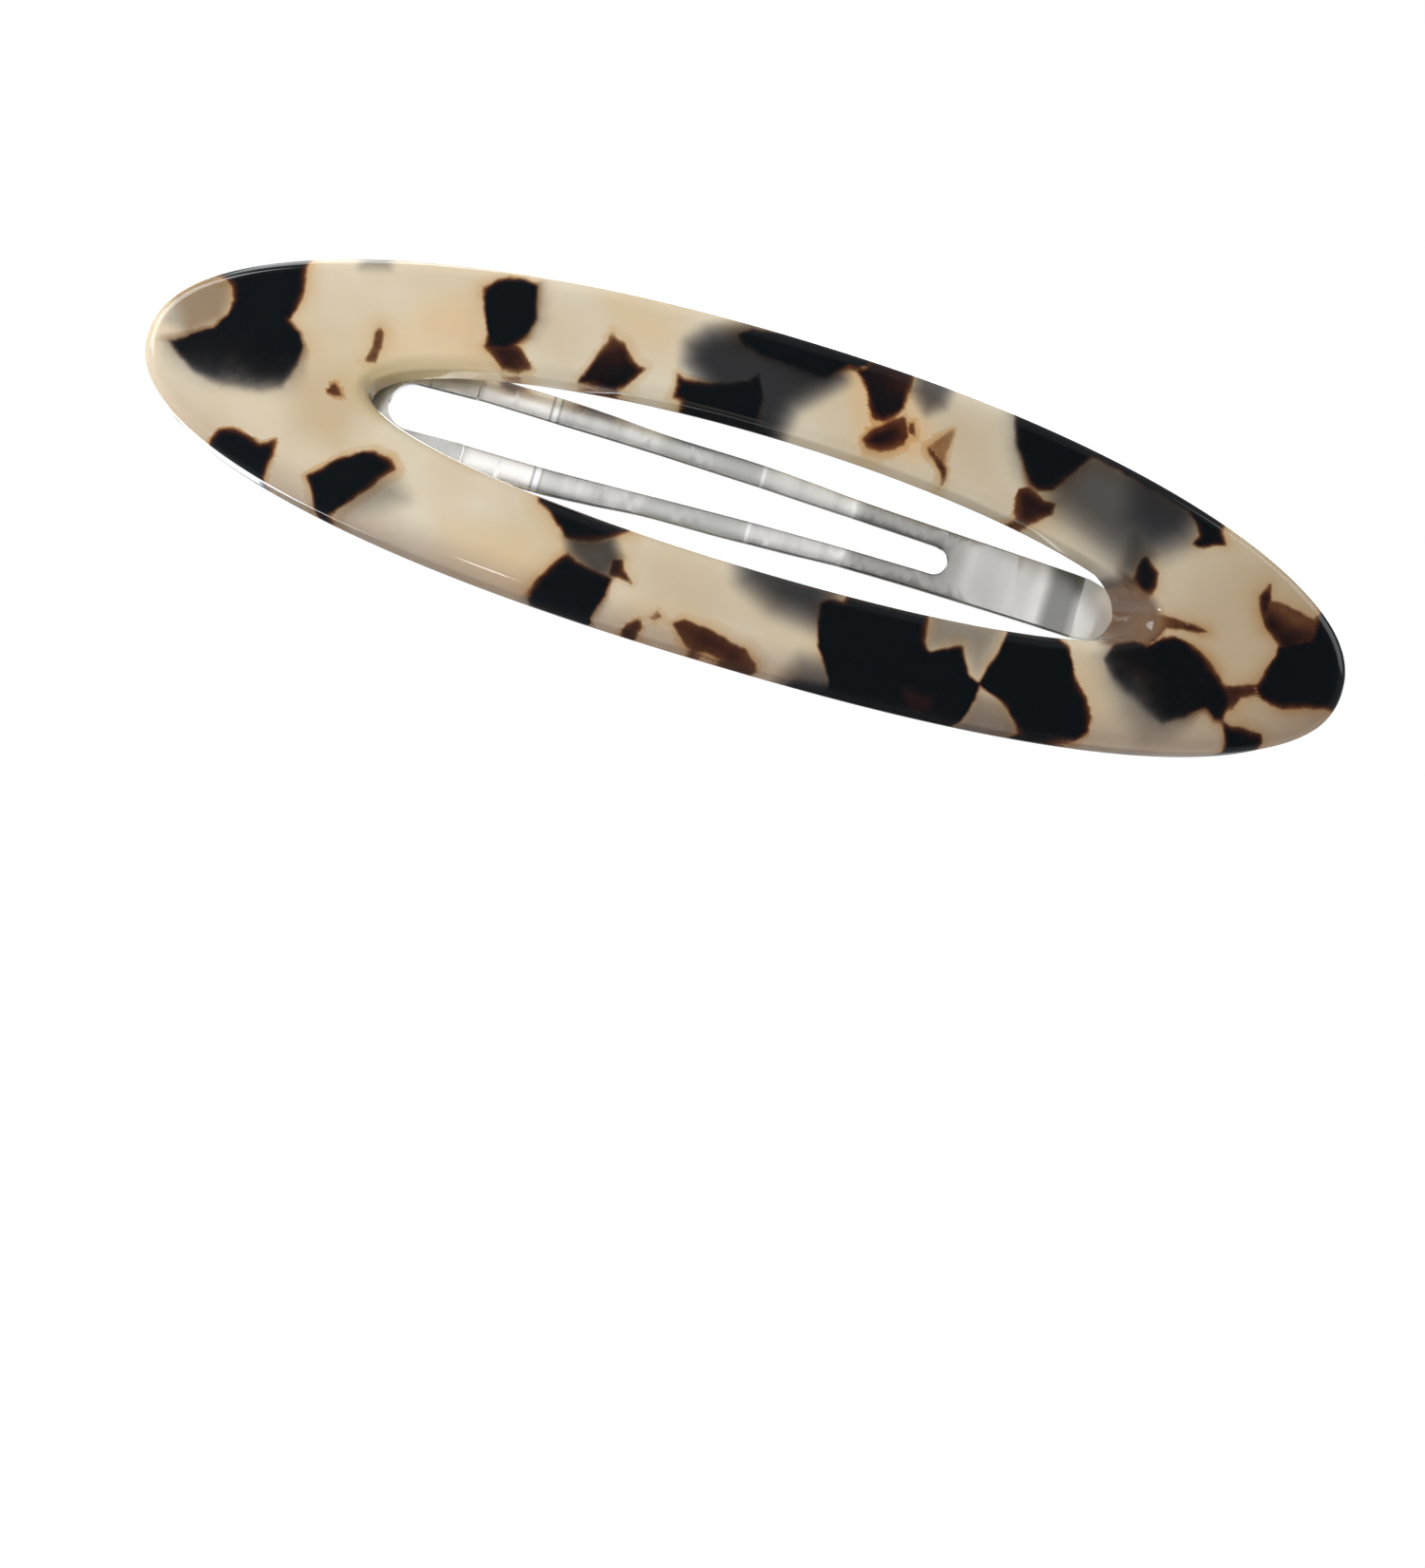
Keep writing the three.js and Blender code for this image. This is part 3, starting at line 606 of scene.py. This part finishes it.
def acetateMaterial():
    look = acetateLook
    material, tree = nodeTree("tortoiseshellAcetate")
    dyes = flakeDyes(tree)
    passed = []
    for channel in range(3):
        strengths = [look[name][channel] for name in ("brownDye", "smokeDye", "haloDye")]
        brown, smoke, halo = [math2(tree, "MULTIPLY", *pair) for pair in zip(dyes, strengths)]
        total = math2(tree, "ADD", math2(tree, "ADD", brown, smoke), halo)
        passed.append(math2(tree, "EXPONENT", math2(tree, "MULTIPLY", total, -1.0)))
    light = addNode(tree, "ShaderNodeCombineColor", None, i0=passed[0], i1=passed[1], i2=passed[2])
    color = vectorMath(tree, "MULTIPLY", creamBody(tree), light.outputs[0])
    color = vectorMath(tree, "ADD", color, look["blackest"])
    ripple = bumpFrom(tree, noise(tree, look["rippleNoise"], 2, 0.4, seed=2.2), 0.04, 0.0004)
    dents = math2(tree, "MULTIPLY", attribute(tree, "endWall"), 0.5)
    ripple = bumpFrom(tree, noise(tree, look["dentNoise"], 2, 0.5, seed=7.3), dents, 0.0003, ripple)
    settings = {
        "Roughness": look["roughness"],
        "IOR": 1.48,
        "Specular IOR Level": 0.4,
        "Subsurface Weight": 0.1,
        "Subsurface Scale": 0.001,
        "Subsurface Radius": (1.0, 0.6, 0.35),
    }
    finishMaterial(tree, settings, Base_Color=color, Normal=ripple)
    return material


# The acetate ring.
ring = {
    "halfLength": 35,  # millimetres
    # how dark the painted shade makes the lower rim
    "rimShare": 0.75,  # how dark the cream goes round the lower rim
    # painted shade and no flakes on the opening's right end wall from here
    "clearFrom": 20.3,  # the opening's right end wall is clear from here
    "ovalPower": 2.2,
    "openingCentre": 0.55 * mm,
    "openingHalfLength": 22.8 * mm,
    "openingHalfHeight": 3.95 * mm,
    "thickness": 3.1 * mm,
    "frontRound": 0.8 * mm,
    "frontSteps": 7,
    "backRound": 0.25 * mm,
    "backSteps": 3,
    "stations": 900,
    "frontStrips": 42,
    "backStrips": 20,
    "wallStrips": 5,
    "taperFrom": 20 * mm,  # the same wall leans inwards from here
    "taperReach": 1.6,  # and the lean dies out at this many times the opening's size
    "taperFade": 0.5,
    "taper": 0.55,
}
rimAngle = 1.2  # two faces that meet at more than this make an edge to round, in radians


def leanEndWall(bm):
    start, end = ring["taperFrom"], ring["openingCentre"] + ring["openingHalfLength"]
    for v in bm.verts:
        away = (v.co.x - ring["openingCentre"]) / ring["openingHalfLength"]
        reach = math.hypot(away, v.co.z / ring["openingHalfHeight"])
        if v.co.x > start and reach < ring["taperReach"]:
            hold = min(1, max(0, (ring["taperReach"] - reach) / ring["taperFade"]))
            share = ring["taper"] * hold * v.co.y / ring["thickness"]
            v.co.x -= min(v.co.x - start, end - start) * share


def edgesAt(bm, depth):
    return [e for e in bm.edges if all(abs(v.co.y - depth) < 1e-7 for v in e.verts)]


def makeRing():
    halfLength = ring["halfLength"] * mm
    halfHeight = (ringBox[1].z - ringBox[0].z) / 2
    back = ring["thickness"]
    bm = bmesh.new()
    bmesh.ops.create_circle(bm, cap_ends=False, segments=ring["stations"], radius=1)
    grown = bmesh.ops.extrude_edge_only(bm, edges=bm.edges[:])["geom"]
    outer = {g for g in grown if isinstance(g, bmesh.types.BMVert)}
    power = 2 / ring["ovalPower"]
    for v in bm.verts:
        c, s = v.co.x, v.co.y
        if v in outer:
            x = halfLength * math.copysign(abs(c) ** power, c)
            z = halfHeight * math.copysign(abs(s) ** power, s)
        else:
            x = ring["openingCentre"] + ring["openingHalfLength"] * c
            z = ring["openingHalfHeight"] * s
        v.co = (x, 0, z)
    copied = bmesh.ops.extrude_face_region(bm, geom=bm.faces[:], use_keep_orig=True)["geom"]
    moved = [g for g in copied if isinstance(g, bmesh.types.BMVert)]
    bmesh.ops.translate(bm, verts=moved, vec=(0, back, 0))
    bmesh.ops.recalc_face_normals(bm, faces=bm.faces[:])
    rounds = ((0, ring["frontRound"], ring["frontSteps"]), (back, ring["backRound"], ring["backSteps"]))
    for depth, radius, steps in rounds:
        rim = [e for e in edgesAt(bm, depth) if len(e.link_faces) == 2 and e.calc_face_angle() > rimAngle]
        bmesh.ops.bevel(bm, geom=rim, offset=radius, offset_type="OFFSET", segments=steps, profile=0.5,
                        affect="EDGES", material=-1)
    for depth, strips in ((0, ring["frontStrips"]), (back, ring["backStrips"])):
        across = [e for e in edgesAt(bm, depth) if e.calc_length() > 2.5 * mm]
        bmesh.ops.subdivide_edges(bm, edges=across, cuts=strips, use_grid_fill=True)
    walls = [e for e in bm.edges if abs(e.verts[0].co.y - e.verts[1].co.y) > 1.2 * mm]
    bmesh.ops.subdivide_edges(bm, edges=walls, cuts=ring["wallStrips"], use_grid_fill=True)
    bmesh.ops.recalc_face_normals(bm, faces=bm.faces[:])
    flat = np.array([v.co[:] for v in bm.verts])
    leanEndWall(bm)
    wrapOnArch(bm)
    material = acetateMaterial()
    piece = makePiece("acetateRing", bm, "clip", ["acetate_front"], material)
    for name, values in flakeFields(flat, ring["thickness"]).items():
        layer = piece.data.attributes.new(name, "FLOAT", "POINT")
        layer.data.foreach_set("value", values.astype(np.float32))
    return piece


makeRing()
print("acetate ring made")


# The snap clip. Outlines are drawn in millimetres as seen from the front. A profile gives the front side's
# depth behind the arch at places along it.
steel = {
    "thickness": 0.45,
    "depth": 3.5,
    "edgeRound": 0.09,
    "layerGap": 0.03,
    "crease": -16.7,  # where the root plate meets the tongue, along the arch
    "creaseX": -16.27,  # the same crease seen from the front
    "leafEnd": -11.9,
    "leafHalf": 1.355,  # the slot's half height at the crease
    "slit": (-16.85, 3.5),  # the round end of the gap between the tongue and an arm
    "slitRadius": 0.55,
    "stationStep": 0.6,
    "tipPadX": 27.4,
    "tipPadRadius": 2.3,
    "joggle": (20.5, 24.0),  # where the upper arm steps back behind the lower one
    "rivetHole": 0.85,
    "lift": 0.3,  # the tongue's middle line above the frame's
}
slotLine = [(-19.55, 1.35), (-14, 1.36), (-8, 1.27), (-2, 1.1), (4, 0.93), (10.6, 0.8)]
tongueLine = [(-16.27, 2.86), (-14.3, 2.78), (-11, 2.74), (-8.5, 2.6), (-5.5, 2.38), (-1, 2.3), (2.5, 2.15),
              (6, 1.95), (12, 1.83), (19.5, 1.75)]
tongueTip = [(20.3, 1.6), (20.9, 1.4), (21.35, 1.1), (21.65, 0.75), (21.8, 0.3)]
outerLine = [(-22.4, 6.2), (-16, 6.75), (-8, 6.95), (0, 6.75), (10, 5.95), (18, 4.75), (20.5, 4.22),
             (24, 3.3), (27.8, 2.27)]
innerLine = [(-16.7, 4.05), (-12, 4.6), (-5, 4.85), (2, 4.75), (10, 4.2), (17, 3.25), (20.5, 2.48), (22, 2.1),
             (24, 0.9)]
tongueProfile = [(-16.7, 3.5), (-16.1, 3.56), (-15.6, 3.62), (-12.1, 3.96), (-11.6, 4.0), (-11.2, 4.0),
                 (-5.9, 3.97), (-5.5, 3.96), (0.0, 3.89), (0.5, 3.89), (5.3, 3.92), (5.7, 3.92), (10, 3.95),
                 (15.0, 4.0), (15.4, 4.0), (19.1, 3.97), (19.5, 3.99), (22.7, 4.25)]


def onArch(x, depth):
    turn = math.asin(x * mm / archRadius)
    reach = archRadius - depth * mm
    return reach * math.sin(turn), crownY + archRadius - reach * math.cos(turn)


def frontSide(points):
    # the front side's Y at a place along world X
    placed = [onArch(x, depth) for x, depth in points]
    return lambda x: float(np.interp(x, [p[0] for p in placed], [p[1] for p in placed]))


def armDepth(x, step):
    start, end = steel["joggle"]
    t = min(1, max(0, (x - start) / (end - start)))
    return steel["depth"] + step * t * t * (3 - 2 * t)


def armProfile(step):
    places = np.arange(steel["crease"], 31, 0.5)
    return [(-29.6, steel["depth"])] + [(x, armDepth(x, step)) for x in places]


def bendBlank(bm, loops, profile):
    # one flat blank, cut across so that it bends, and laid on its side profile
    faces = fillSheet(bm, loops)
    xs = [v.co.x / mm for f in faces for v in f.verts]
    geom = faces + list({e for f in faces for e in f.edges}) + list({v for f in faces for v in f.verts})
    for x in np.arange(math.ceil(min(xs)) + 0.013, max(xs) - 0.1, steel["stationStep"]):
        cut = bmesh.ops.bisect_plane(bm, geom=geom, dist=4e-5, plane_co=(x * mm, 0, 0), plane_no=(1, 0, 0))
        geom = cut["geom"]
    side = frontSide(profile)
    for v in {g for g in geom if isinstance(g, bmesh.types.BMVert)}:
        v.co.y = side(v.co.x)


def thickenBlank(bm):
    # its thickness towards the back, and rounded stamped edges
    bmesh.ops.recalc_face_normals(bm, faces=bm.faces[:])
    if sum(f.normal.y * f.calc_area() for f in bm.faces) > 0:
        bmesh.ops.reverse_faces(bm, faces=bm.faces[:])
    bmesh.ops.solidify(bm, geom=bm.faces[:], thickness=steel["thickness"] * mm)
    bmesh.ops.recalc_face_normals(bm, faces=bm.faces[:])
    rims = [e for e in bm.edges if len(e.link_faces) == 2 and e.calc_face_angle() > rimAngle]
    bmesh.ops.bevel(bm, geom=rims, offset=steel["edgeRound"] * mm, offset_type="OFFSET", segments=3,
                    profile=0.5, affect="EDGES", material=-1, clamp_overlap=True)
    bmesh.ops.recalc_face_normals(bm, faces=bm.faces[:])


def eyeArc(start, end, count=26):
    return arcPoints(steel["tipPadX"], 0, steel["tipPadRadius"], start, end, count)


def circleLoop(x, radius, count=36):
    return arcPoints(x, 0, radius, 0, 360, count + 1)[:-1]


def below(points):
    return [(x, -z) for x, z in points]


def lifted(points):
    return [(x, z + steel["lift"]) for x, z in points]


steelLook = {
    "tint": (0.74, 0.73, 0.705),
    "shaded": (0.56, 0.56, 0.545),
    "roughness": 0.3,
    "acrossNoise": 900,
    "grainNoise": 2600,
    "cloudNoise": 210,
    "groundFrom": (19.1, 19.3),  # the tip is matt from here on, where it was ground
}
# painted highlight and shade bands across the tongue, bright where its bends catch the light and dark where
# they lie in shade: from, to, how softly they end, colour
paintedSheenAndShadeBands = [
    (-16.0, -12.1, 0.15, (0.96, 0.93, 0.90)),
    (-12.15, -12.0, 0.05, (0.5, 0.5, 0.49)),
    (-12.0, -11.7, 0.06, (0.98, 0.98, 0.98)),
    (-11.7, -11.55, 0.04, (0.5, 0.5, 0.49)),
    (-5.8, 0.1, 0.5, (0.52, 0.52, 0.50)),
    (0.1, 0.3, 0.08, (0.85, 0.85, 0.84)),
    (5.4, 5.7, 0.15, (0.8, 0.8, 0.79)),
    (5.9, 12.5, 0.5, (0.32, 0.315, 0.3)),
    (12.5, 15.2, 1.2, (0.5, 0.495, 0.48)),
    (15.2, 16.6, 0.4, (0.55, 0.54, 0.52)),
    (17.2, 19.1, 0.5, (0.22, 0.22, 0.215)),
    (19.2, 23, 0.06, (0.88, 0.88, 0.86)),
    (21.45, 23, 0.1, (0.9, 0.9, 0.89)),
]


def steelMaterial(name, bands=()):
    # rolled strip: fine cross lines from forming, faint grain along its length, and any painted highlight and
    # shade bands across its bends
    look = steelLook
    material, tree = nodeTree(name)
    across = noise(tree, look["acrossNoise"], 3, 0.6, stretch=(1, 0.05, 0.06), seed=1.3)
    grain = noise(tree, look["grainNoise"], 3, 0.6, stretch=(0.12, 1, 1), seed=5.1)
    cloud = noise(tree, look["cloudNoise"], 4, 0.6, stretch=(1, 0.2, 0.5), seed=8.2)
    blend = math2(tree, "ADD", math2(tree, "MULTIPLY", across, 0.5), math2(tree, "MULTIPLY", cloud, 0.5))
    color = mixColor(tree, ramp(tree, blend, 0.38, 0.62), look["shaded"], look["tint"])
    place = addNode(tree, "ShaderNodeTexCoord").outputs["Object"]
    x = addNode(tree, "ShaderNodeSeparateXYZ", None, i0=place).outputs[0]
    # painted highlight and shade, one band at a time along the tongue
    for start, end, soft, tint in bands:
        rise = ramp(tree, x, (start - soft) * mm, (start + soft) * mm)
        fall = ramp(tree, x, (end + soft) * mm, (end - soft) * mm)
        color = mixColor(tree, math2(tree, "MULTIPLY", rise, fall), color, tint)
    gloss = ramp(tree, cloud, 0.3, 0.7, look["roughness"] - 0.06, look["roughness"] + 0.08)
    lines = math2(tree, "ADD", math2(tree, "MULTIPLY", grain, 0.6), math2(tree, "MULTIPLY", across, 0.4))
    shader = finishMaterial(tree, {}, Base_Color=color, Roughness=gloss,
                            Normal=bumpFrom(tree, lines, 0.05, 0.00008))
    start, end = [ground * mm for ground in look["groundFrom"]]
    tree.links.new(ramp(tree, x, start, end, 0.95, 0.35), shader.inputs["Metallic"])
    return material


def makeFrame():
    start = steel["joggle"][0]
    outer, inner = throughPoints(outerLine, 90), throughPoints(innerLine, 70)
    armEnd = [(start, dict(line)[start]) for line in (outerLine, innerLine)]
    nearOuter, nearInner = [[p for p in line if p[0] < start - 0.3] for line in (outer, inner)]
    farOuter, farInner = [[p for p in line if p[0] > start + 0.3] for line in (outer, inner)]
    rootX, rootRadius = outerLine[0]
    root = arcPoints(rootX, 0, rootRadius, 90, 270, 50)
    slit = arcPoints(*steel["slit"], steel["slitRadius"], 90, 270, 14)
    slotX, slotRadius = slotLine[0]
    slotEnd = arcPoints(slotX, 0, slotRadius, 90, 270, 26)
    leaf = [(steel["creaseX"], tongueLine[0][1]), (steel["creaseX"], steel["leafHalf"])]
    rim = nearOuter[::-1] + root[1:-1] + below(outer)[:-1] + eyeArc(-80, 190)
    leafEdges = lifted(below(leaf) + slotEnd[::-1] + leaf[::-1])
    gap = below(inner)[::-1] + below(slit) + leafEdges + slit[::-1] + nearInner
    hole = circleLoop(steel["tipPadX"], steel["rivetHole"])
    strap = [armEnd[0]] + farOuter[:-1] + eyeArc(80, -190) + farInner[::-1] + [armEnd[1]]
    bm = bmesh.new()
    bendBlank(bm, [[armEnd[0]] + rim + gap + [armEnd[1]], hole], armProfile(0))
    bendBlank(bm, [strap, hole], armProfile(steel["thickness"] + steel["layerGap"]))
    joined = [v for v in bm.verts if abs(v.co.x - start * mm) < 1e-6]
    bmesh.ops.remove_doubles(bm, verts=joined, dist=2e-6)
    thickenBlank(bm)
    material = steelMaterial("rolledSpringSteel")
    return makePiece("springFrame", bm, "clip", ["clip_frame"], material, 35, True)


def makeTongue():
    creaseX = steel["creaseX"]
    edge = throughPoints(tongueLine, 80) + tongueTip
    slot = [(creaseX, steel["leafHalf"])] + [p for p in throughPoints(slotLine, 80) if p[0] > creaseX + 0.2]
    slotX, slotRadius = slotLine[-1]
    slotEnd = arcPoints(slotX, 0, slotRadius, 90, -90, 22)
    slot = slot + slotEnd[1:-1] + below(slot)[::-1]
    bm = bmesh.new()
    bendBlank(bm, [lifted(edge + below(edge)[::-1] + slot[::-1])], tongueProfile)
    thickenBlank(bm)
    # the tongue gets the painted highlight and shade bands
    material = steelMaterial("formedSpringSteel", paintedSheenAndShadeBands)
    tongue = makePiece("springTongue", bm, None, ["clip_tongue"], material, 35, True)
    creaseY = frontSide(tongueProfile)(creaseX * mm)
    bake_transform(tongue)
    return tongue


frameSteel = makeFrame()
tongueSteel = makeTongue()
print("snap clip made")


# The rivet at the tip, in millimetres, and the adhesive.
rivet = {"shank": 0.75, "head": 1.35, "frontHead": 0.16, "backHead": 0.5, "dimple": 0.42}
adhesiveLook = {
    "clear": (0.66, 0.56, 0.33),
    "pale": (0.80, 0.74, 0.53),
    "bubble": (0.9, 0.87, 0.74),
    "cloudNoise": 420,
    "bubbleSize": 1600.0,
}


def rivetMaterial():
    material, tree = nodeTree("peenedRivetSteel")
    cloud = noise(tree, 1500, 4, 0.6, seed=3.3)
    color = mixColor(tree, ramp(tree, cloud, 0.35, 0.65), (0.52, 0.51, 0.49), (0.76, 0.75, 0.72))
    gloss = ramp(tree, cloud, 0.3, 0.7, 0.2, 0.38)
    dents = bumpFrom(tree, noise(tree, 2600, 2, 0.5, seed=9.1), 0.2, 0.00008)
    finishMaterial(tree, {"Metallic": 1.0}, Base_Color=color, Roughness=gloss, Normal=dents)
    return material


def makeRivet():
    # turned about Z with its back head up, then laid square to the arch at the tip
    front = steel["depth"] - steel["layerGap"]
    back = steel["depth"] + 2 * steel["thickness"] + 2 * steel["layerGap"]
    head, flat = rivet["head"], rivet["frontHead"]
    frontPart = [(0, front - flat), (head * 0.86, front - flat), (head * 0.97, front - flat * 0.7),
                 (head, front - flat * 0.4), (head, front - 0.02), (head * 0.98, front),
                 (rivet["shank"], front), (rivet["shank"], back)]
    rise, dimple = rivet["backHead"], rivet["dimple"]
    rolled = throughPoints([(head * 0.97, back), (head, back + rise * 0.16), (head * 0.9, back + rise * 0.55),
                            (head * 0.68, back + rise * 0.86), (head * 0.5, back + rise * 0.96),
                            (dimple, back + rise * 0.84), (dimple * 0.72, back + rise * 0.5),
                            (0, back + rise * 0.36)], 26)
    bm = bmesh.new()
    verts = [bm.verts.new((r * mm, 0, depth * mm)) for r, depth in frontPart + rolled]
    line = verts + [bm.edges.new(pair) for pair in zip(verts, verts[1:])]
    bmesh.ops.spin(bm, geom=line, cent=(0, 0, 0), axis=(0, 0, 1), angle=math.tau, steps=56, use_merge=True)
    bmesh.ops.remove_doubles(bm, verts=bm.verts[:], dist=1e-7)
    bmesh.ops.recalc_face_normals(bm, faces=bm.faces[:])
    turn = math.asin(steel["tipPadX"] * mm / (archRadius - steel["depth"] * mm))
    inward = Vector((-math.sin(turn), math.cos(turn), 0))
    across = Vector((math.cos(turn), math.sin(turn), 0))
    crown = Vector((archRadius * math.sin(turn), crownY + archRadius * (1 - math.cos(turn)), 0))
    axes = Matrix((across, inward.cross(across), inward)).transposed()
    bmesh.ops.transform(bm, matrix=Matrix.Translation(crown) @ axes.to_4x4(), verts=bm.verts[:])
    bmesh.ops.recalc_face_normals(bm, faces=bm.faces[:])
    return makePiece("tipRivet", bm, "clip", ["tip_rivet"], rivetMaterial(), 50)


def adhesiveMaterial():
    look = adhesiveLook
    material, tree = nodeTree("curedClearAdhesive")
    cloud = noise(tree, look["cloudNoise"], 3, 0.55, seed=6.4)
    place = addNode(tree, "ShaderNodeTexCoord").outputs["Object"]
    bubbles = addNode(tree, "ShaderNodeTexVoronoi", None, Scale=look["bubbleSize"], Vector=place)
    body = mixColor(tree, ramp(tree, cloud, 0.3, 0.7), look["clear"], look["pale"])
    color = mixColor(tree, ramp(tree, bubbles.outputs["Distance"], 0.16, 0.05), body, look["bubble"])
    settings = {
        "Roughness": 0.14,
        "IOR": 1.5,
        "Subsurface Weight": 0.35,
        "Subsurface Scale": 0.0008,
        "Coat Weight": 0.4,
        "Coat Roughness": 0.05,
    }
    finishMaterial(tree, settings, Base_Color=color, Normal=bumpFrom(tree, cloud, 0.5, 0.0002))
    return material


rivetPiece = makeRivet()
adhesive = adhesiveMaterial()
for name in ("root_adhesive", "upper_arm_adhesive", "lower_arm_adhesive", "tip_adhesive"):
    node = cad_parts[name]
    node.data.materials.clear()
    node.data.materials.append(adhesive)
print("rivet and adhesive made")


# Lights, floor and surroundings.
studio = {
    "floorDrop": 0.2,
    "floorSize": 1.4,
    "floorGlow": 0.72,
    "surround": 0.25,
    "dimming": 0.93,  # how much of the surround is lost where the room is dim
}
# name, azimuth, elevation, distance, size, watts, colour
lamps = [
    ("leftKey", -62, 24, 0.7, (0.35, 0.5), 4, (1, 1, 1)),
    ("rightFill", 72, 36, 0.8, (0.5, 0.5), 1.7, (0.97, 0.98, 1)),
    ("overLeft", -118, 62, 0.7, (0.5, 0.25), 1.7, (0.93, 0.97, 1)),
    ("backLight", 165, 30, 0.8, (0.5, 0.4), 2.4, (1, 1, 1)),
    ("leftRim", -150, 6, 0.6, (0.5, 0.8), 3.8, (0.93, 0.97, 1)),
    ("lowGlint", -15, -20, 0.45, (0.03, 0.06), 0.12, (1, 1, 1)),
]
# soft lights that only the steel answers to, so that the polished face in front of it stays deep
steelLamps = [
    ("steelLight", 10, 14, 0.8, (1.3, 0.35), 1.8, (1, 1, 1)),
    ("underLight", 0, -38, 0.28, (0.5, 0.1), 0.12, (1, 1, 1)),
    ("tipLight", 32, 13, 0.6, (0.25, 0.3), 0.06, (1, 1, 1)),
    ("backSteelLight", 142, -10, 0.7, (1.0, 0.45), 1.3, (1, 1, 1)),
]


def areaLight(name, azimuth, elevation, distance, size, watts, tint):
    back = wayTo(azimuth, elevation)
    lamp = bpy.data.lights.new(name, "AREA")
    lamp.shape = "RECTANGLE"
    lamp.size, lamp.size_y = size
    lamp.energy = watts
    lamp.color = tint
    holder = bpy.data.objects.new(name, lamp)
    holder.location = back * distance
    holder.rotation_mode = "QUATERNION"
    holder.rotation_quaternion = back.to_track_quat("Z", "Y")
    bpy.context.collection.objects.link(holder)
    return holder


def makeFloor():
    material, tree = nodeTree("paleFloor")
    shade = mixColor(tree, noise(tree, 3, 2, 0.5), (0.86, 0.86, 0.86), (0.9, 0.9, 0.9))
    shader = addNode(tree, "ShaderNodeBsdfDiffuse", None, i0=shade)
    # evenly pale as far as it is seen, without lighting the object more
    glow = addNode(tree, "ShaderNodeEmission", None, i0=shade, i1=studio["floorGlow"])
    seen = math2(tree, "MULTIPLY", addNode(tree, "ShaderNodeLightPath").outputs["Is Camera Ray"], 0.7)
    both = addNode(tree, "ShaderNodeMixShader", None, i0=seen, i1=shader.outputs[0], i2=glow.outputs[0])
    out = addNode(tree, "ShaderNodeOutputMaterial")
    tree.links.new(both.outputs[0], out.inputs[0])
    bm = bmesh.new()
    bmesh.ops.create_circle(bm, cap_ends=True, segments=96, radius=studio["floorSize"])
    bmesh.ops.translate(bm, verts=bm.verts[:], vec=(0, 0, -studio["floorDrop"]))
    mesh = bpy.data.meshes.new("floor")
    bm.to_mesh(mesh)
    bm.free()
    mesh.materials.append(material)
    floor = bpy.data.objects.new("floor", mesh)
    bpy.context.collection.objects.link(floor)
    floor.visible_glossy = False


def makeSurround():
    world = bpy.data.worlds.new("studio")
    world.use_nodes = True
    tree = world.node_tree
    tree.nodes.clear()
    seen = addNode(tree, "ShaderNodeLightPath").outputs["Is Camera Ray"]
    place = addNode(tree, "ShaderNodeTexCoord").outputs["Generated"]
    way = addNode(tree, "ShaderNodeSeparateXYZ", None, i0=place)
    # the room is dim straight in front of the barrette, so that its face stays deep in colour
    frontness = ramp(tree, way.outputs[1], -0.45, -0.85)
    height = ramp(tree, math2(tree, "ABSOLUTE", math2(tree, "SUBTRACT", way.outputs[2], 0.2)), 0.42, 0.18)
    # and under it, in front and straight behind, so that the lower rim does too
    sideways = math2(tree, "ABSOLUTE", way.outputs[0])
    lane = math2(tree, "MAXIMUM", ramp(tree, way.outputs[1], 0.2, -0.1), ramp(tree, sideways, 0.45, 0.3))
    under = math2(tree, "MULTIPLY", ramp(tree, way.outputs[2], 0.02, -0.12), lane)
    dim = math2(tree, "MAXIMUM", math2(tree, "MULTIPLY", frontness, height), under)
    lost = math2(tree, "MULTIPLY", dim, studio["surround"] * studio["dimming"])
    level = math2(tree, "SUBTRACT", studio["surround"], lost)
    lit = addNode(tree, "ShaderNodeBackground", None, Strength=level)
    lit.inputs[0].default_value = (1, 1, 1, 1)
    plain = addNode(tree, "ShaderNodeBackground", None, Strength=1.0)
    plain.inputs[0].default_value = (1, 1, 1, 1)
    both = addNode(tree, "ShaderNodeMixShader", None, i0=seen, i1=lit.outputs[0], i2=plain.outputs[0])
    out = addNode(tree, "ShaderNodeOutputWorld")
    tree.links.new(both.outputs[0], out.inputs[0])
    bpy.context.scene.world = world


for lamp in lamps:
    areaLight(*lamp)
makeFloor()
makeSurround()
onlySteel = bpy.data.collections.new("steelPieces")
for piece in (frameSteel, tongueSteel, rivetPiece):
    onlySteel.objects.link(piece)
for lamp in steelLamps:
    holder = areaLight(*lamp)
    holder.light_linking.receiver_collection = onlySteel
    holder.light_linking.blocker_collection = onlySteel
bpy.context.scene.view_settings.view_transform = "Standard"
print("studio made")
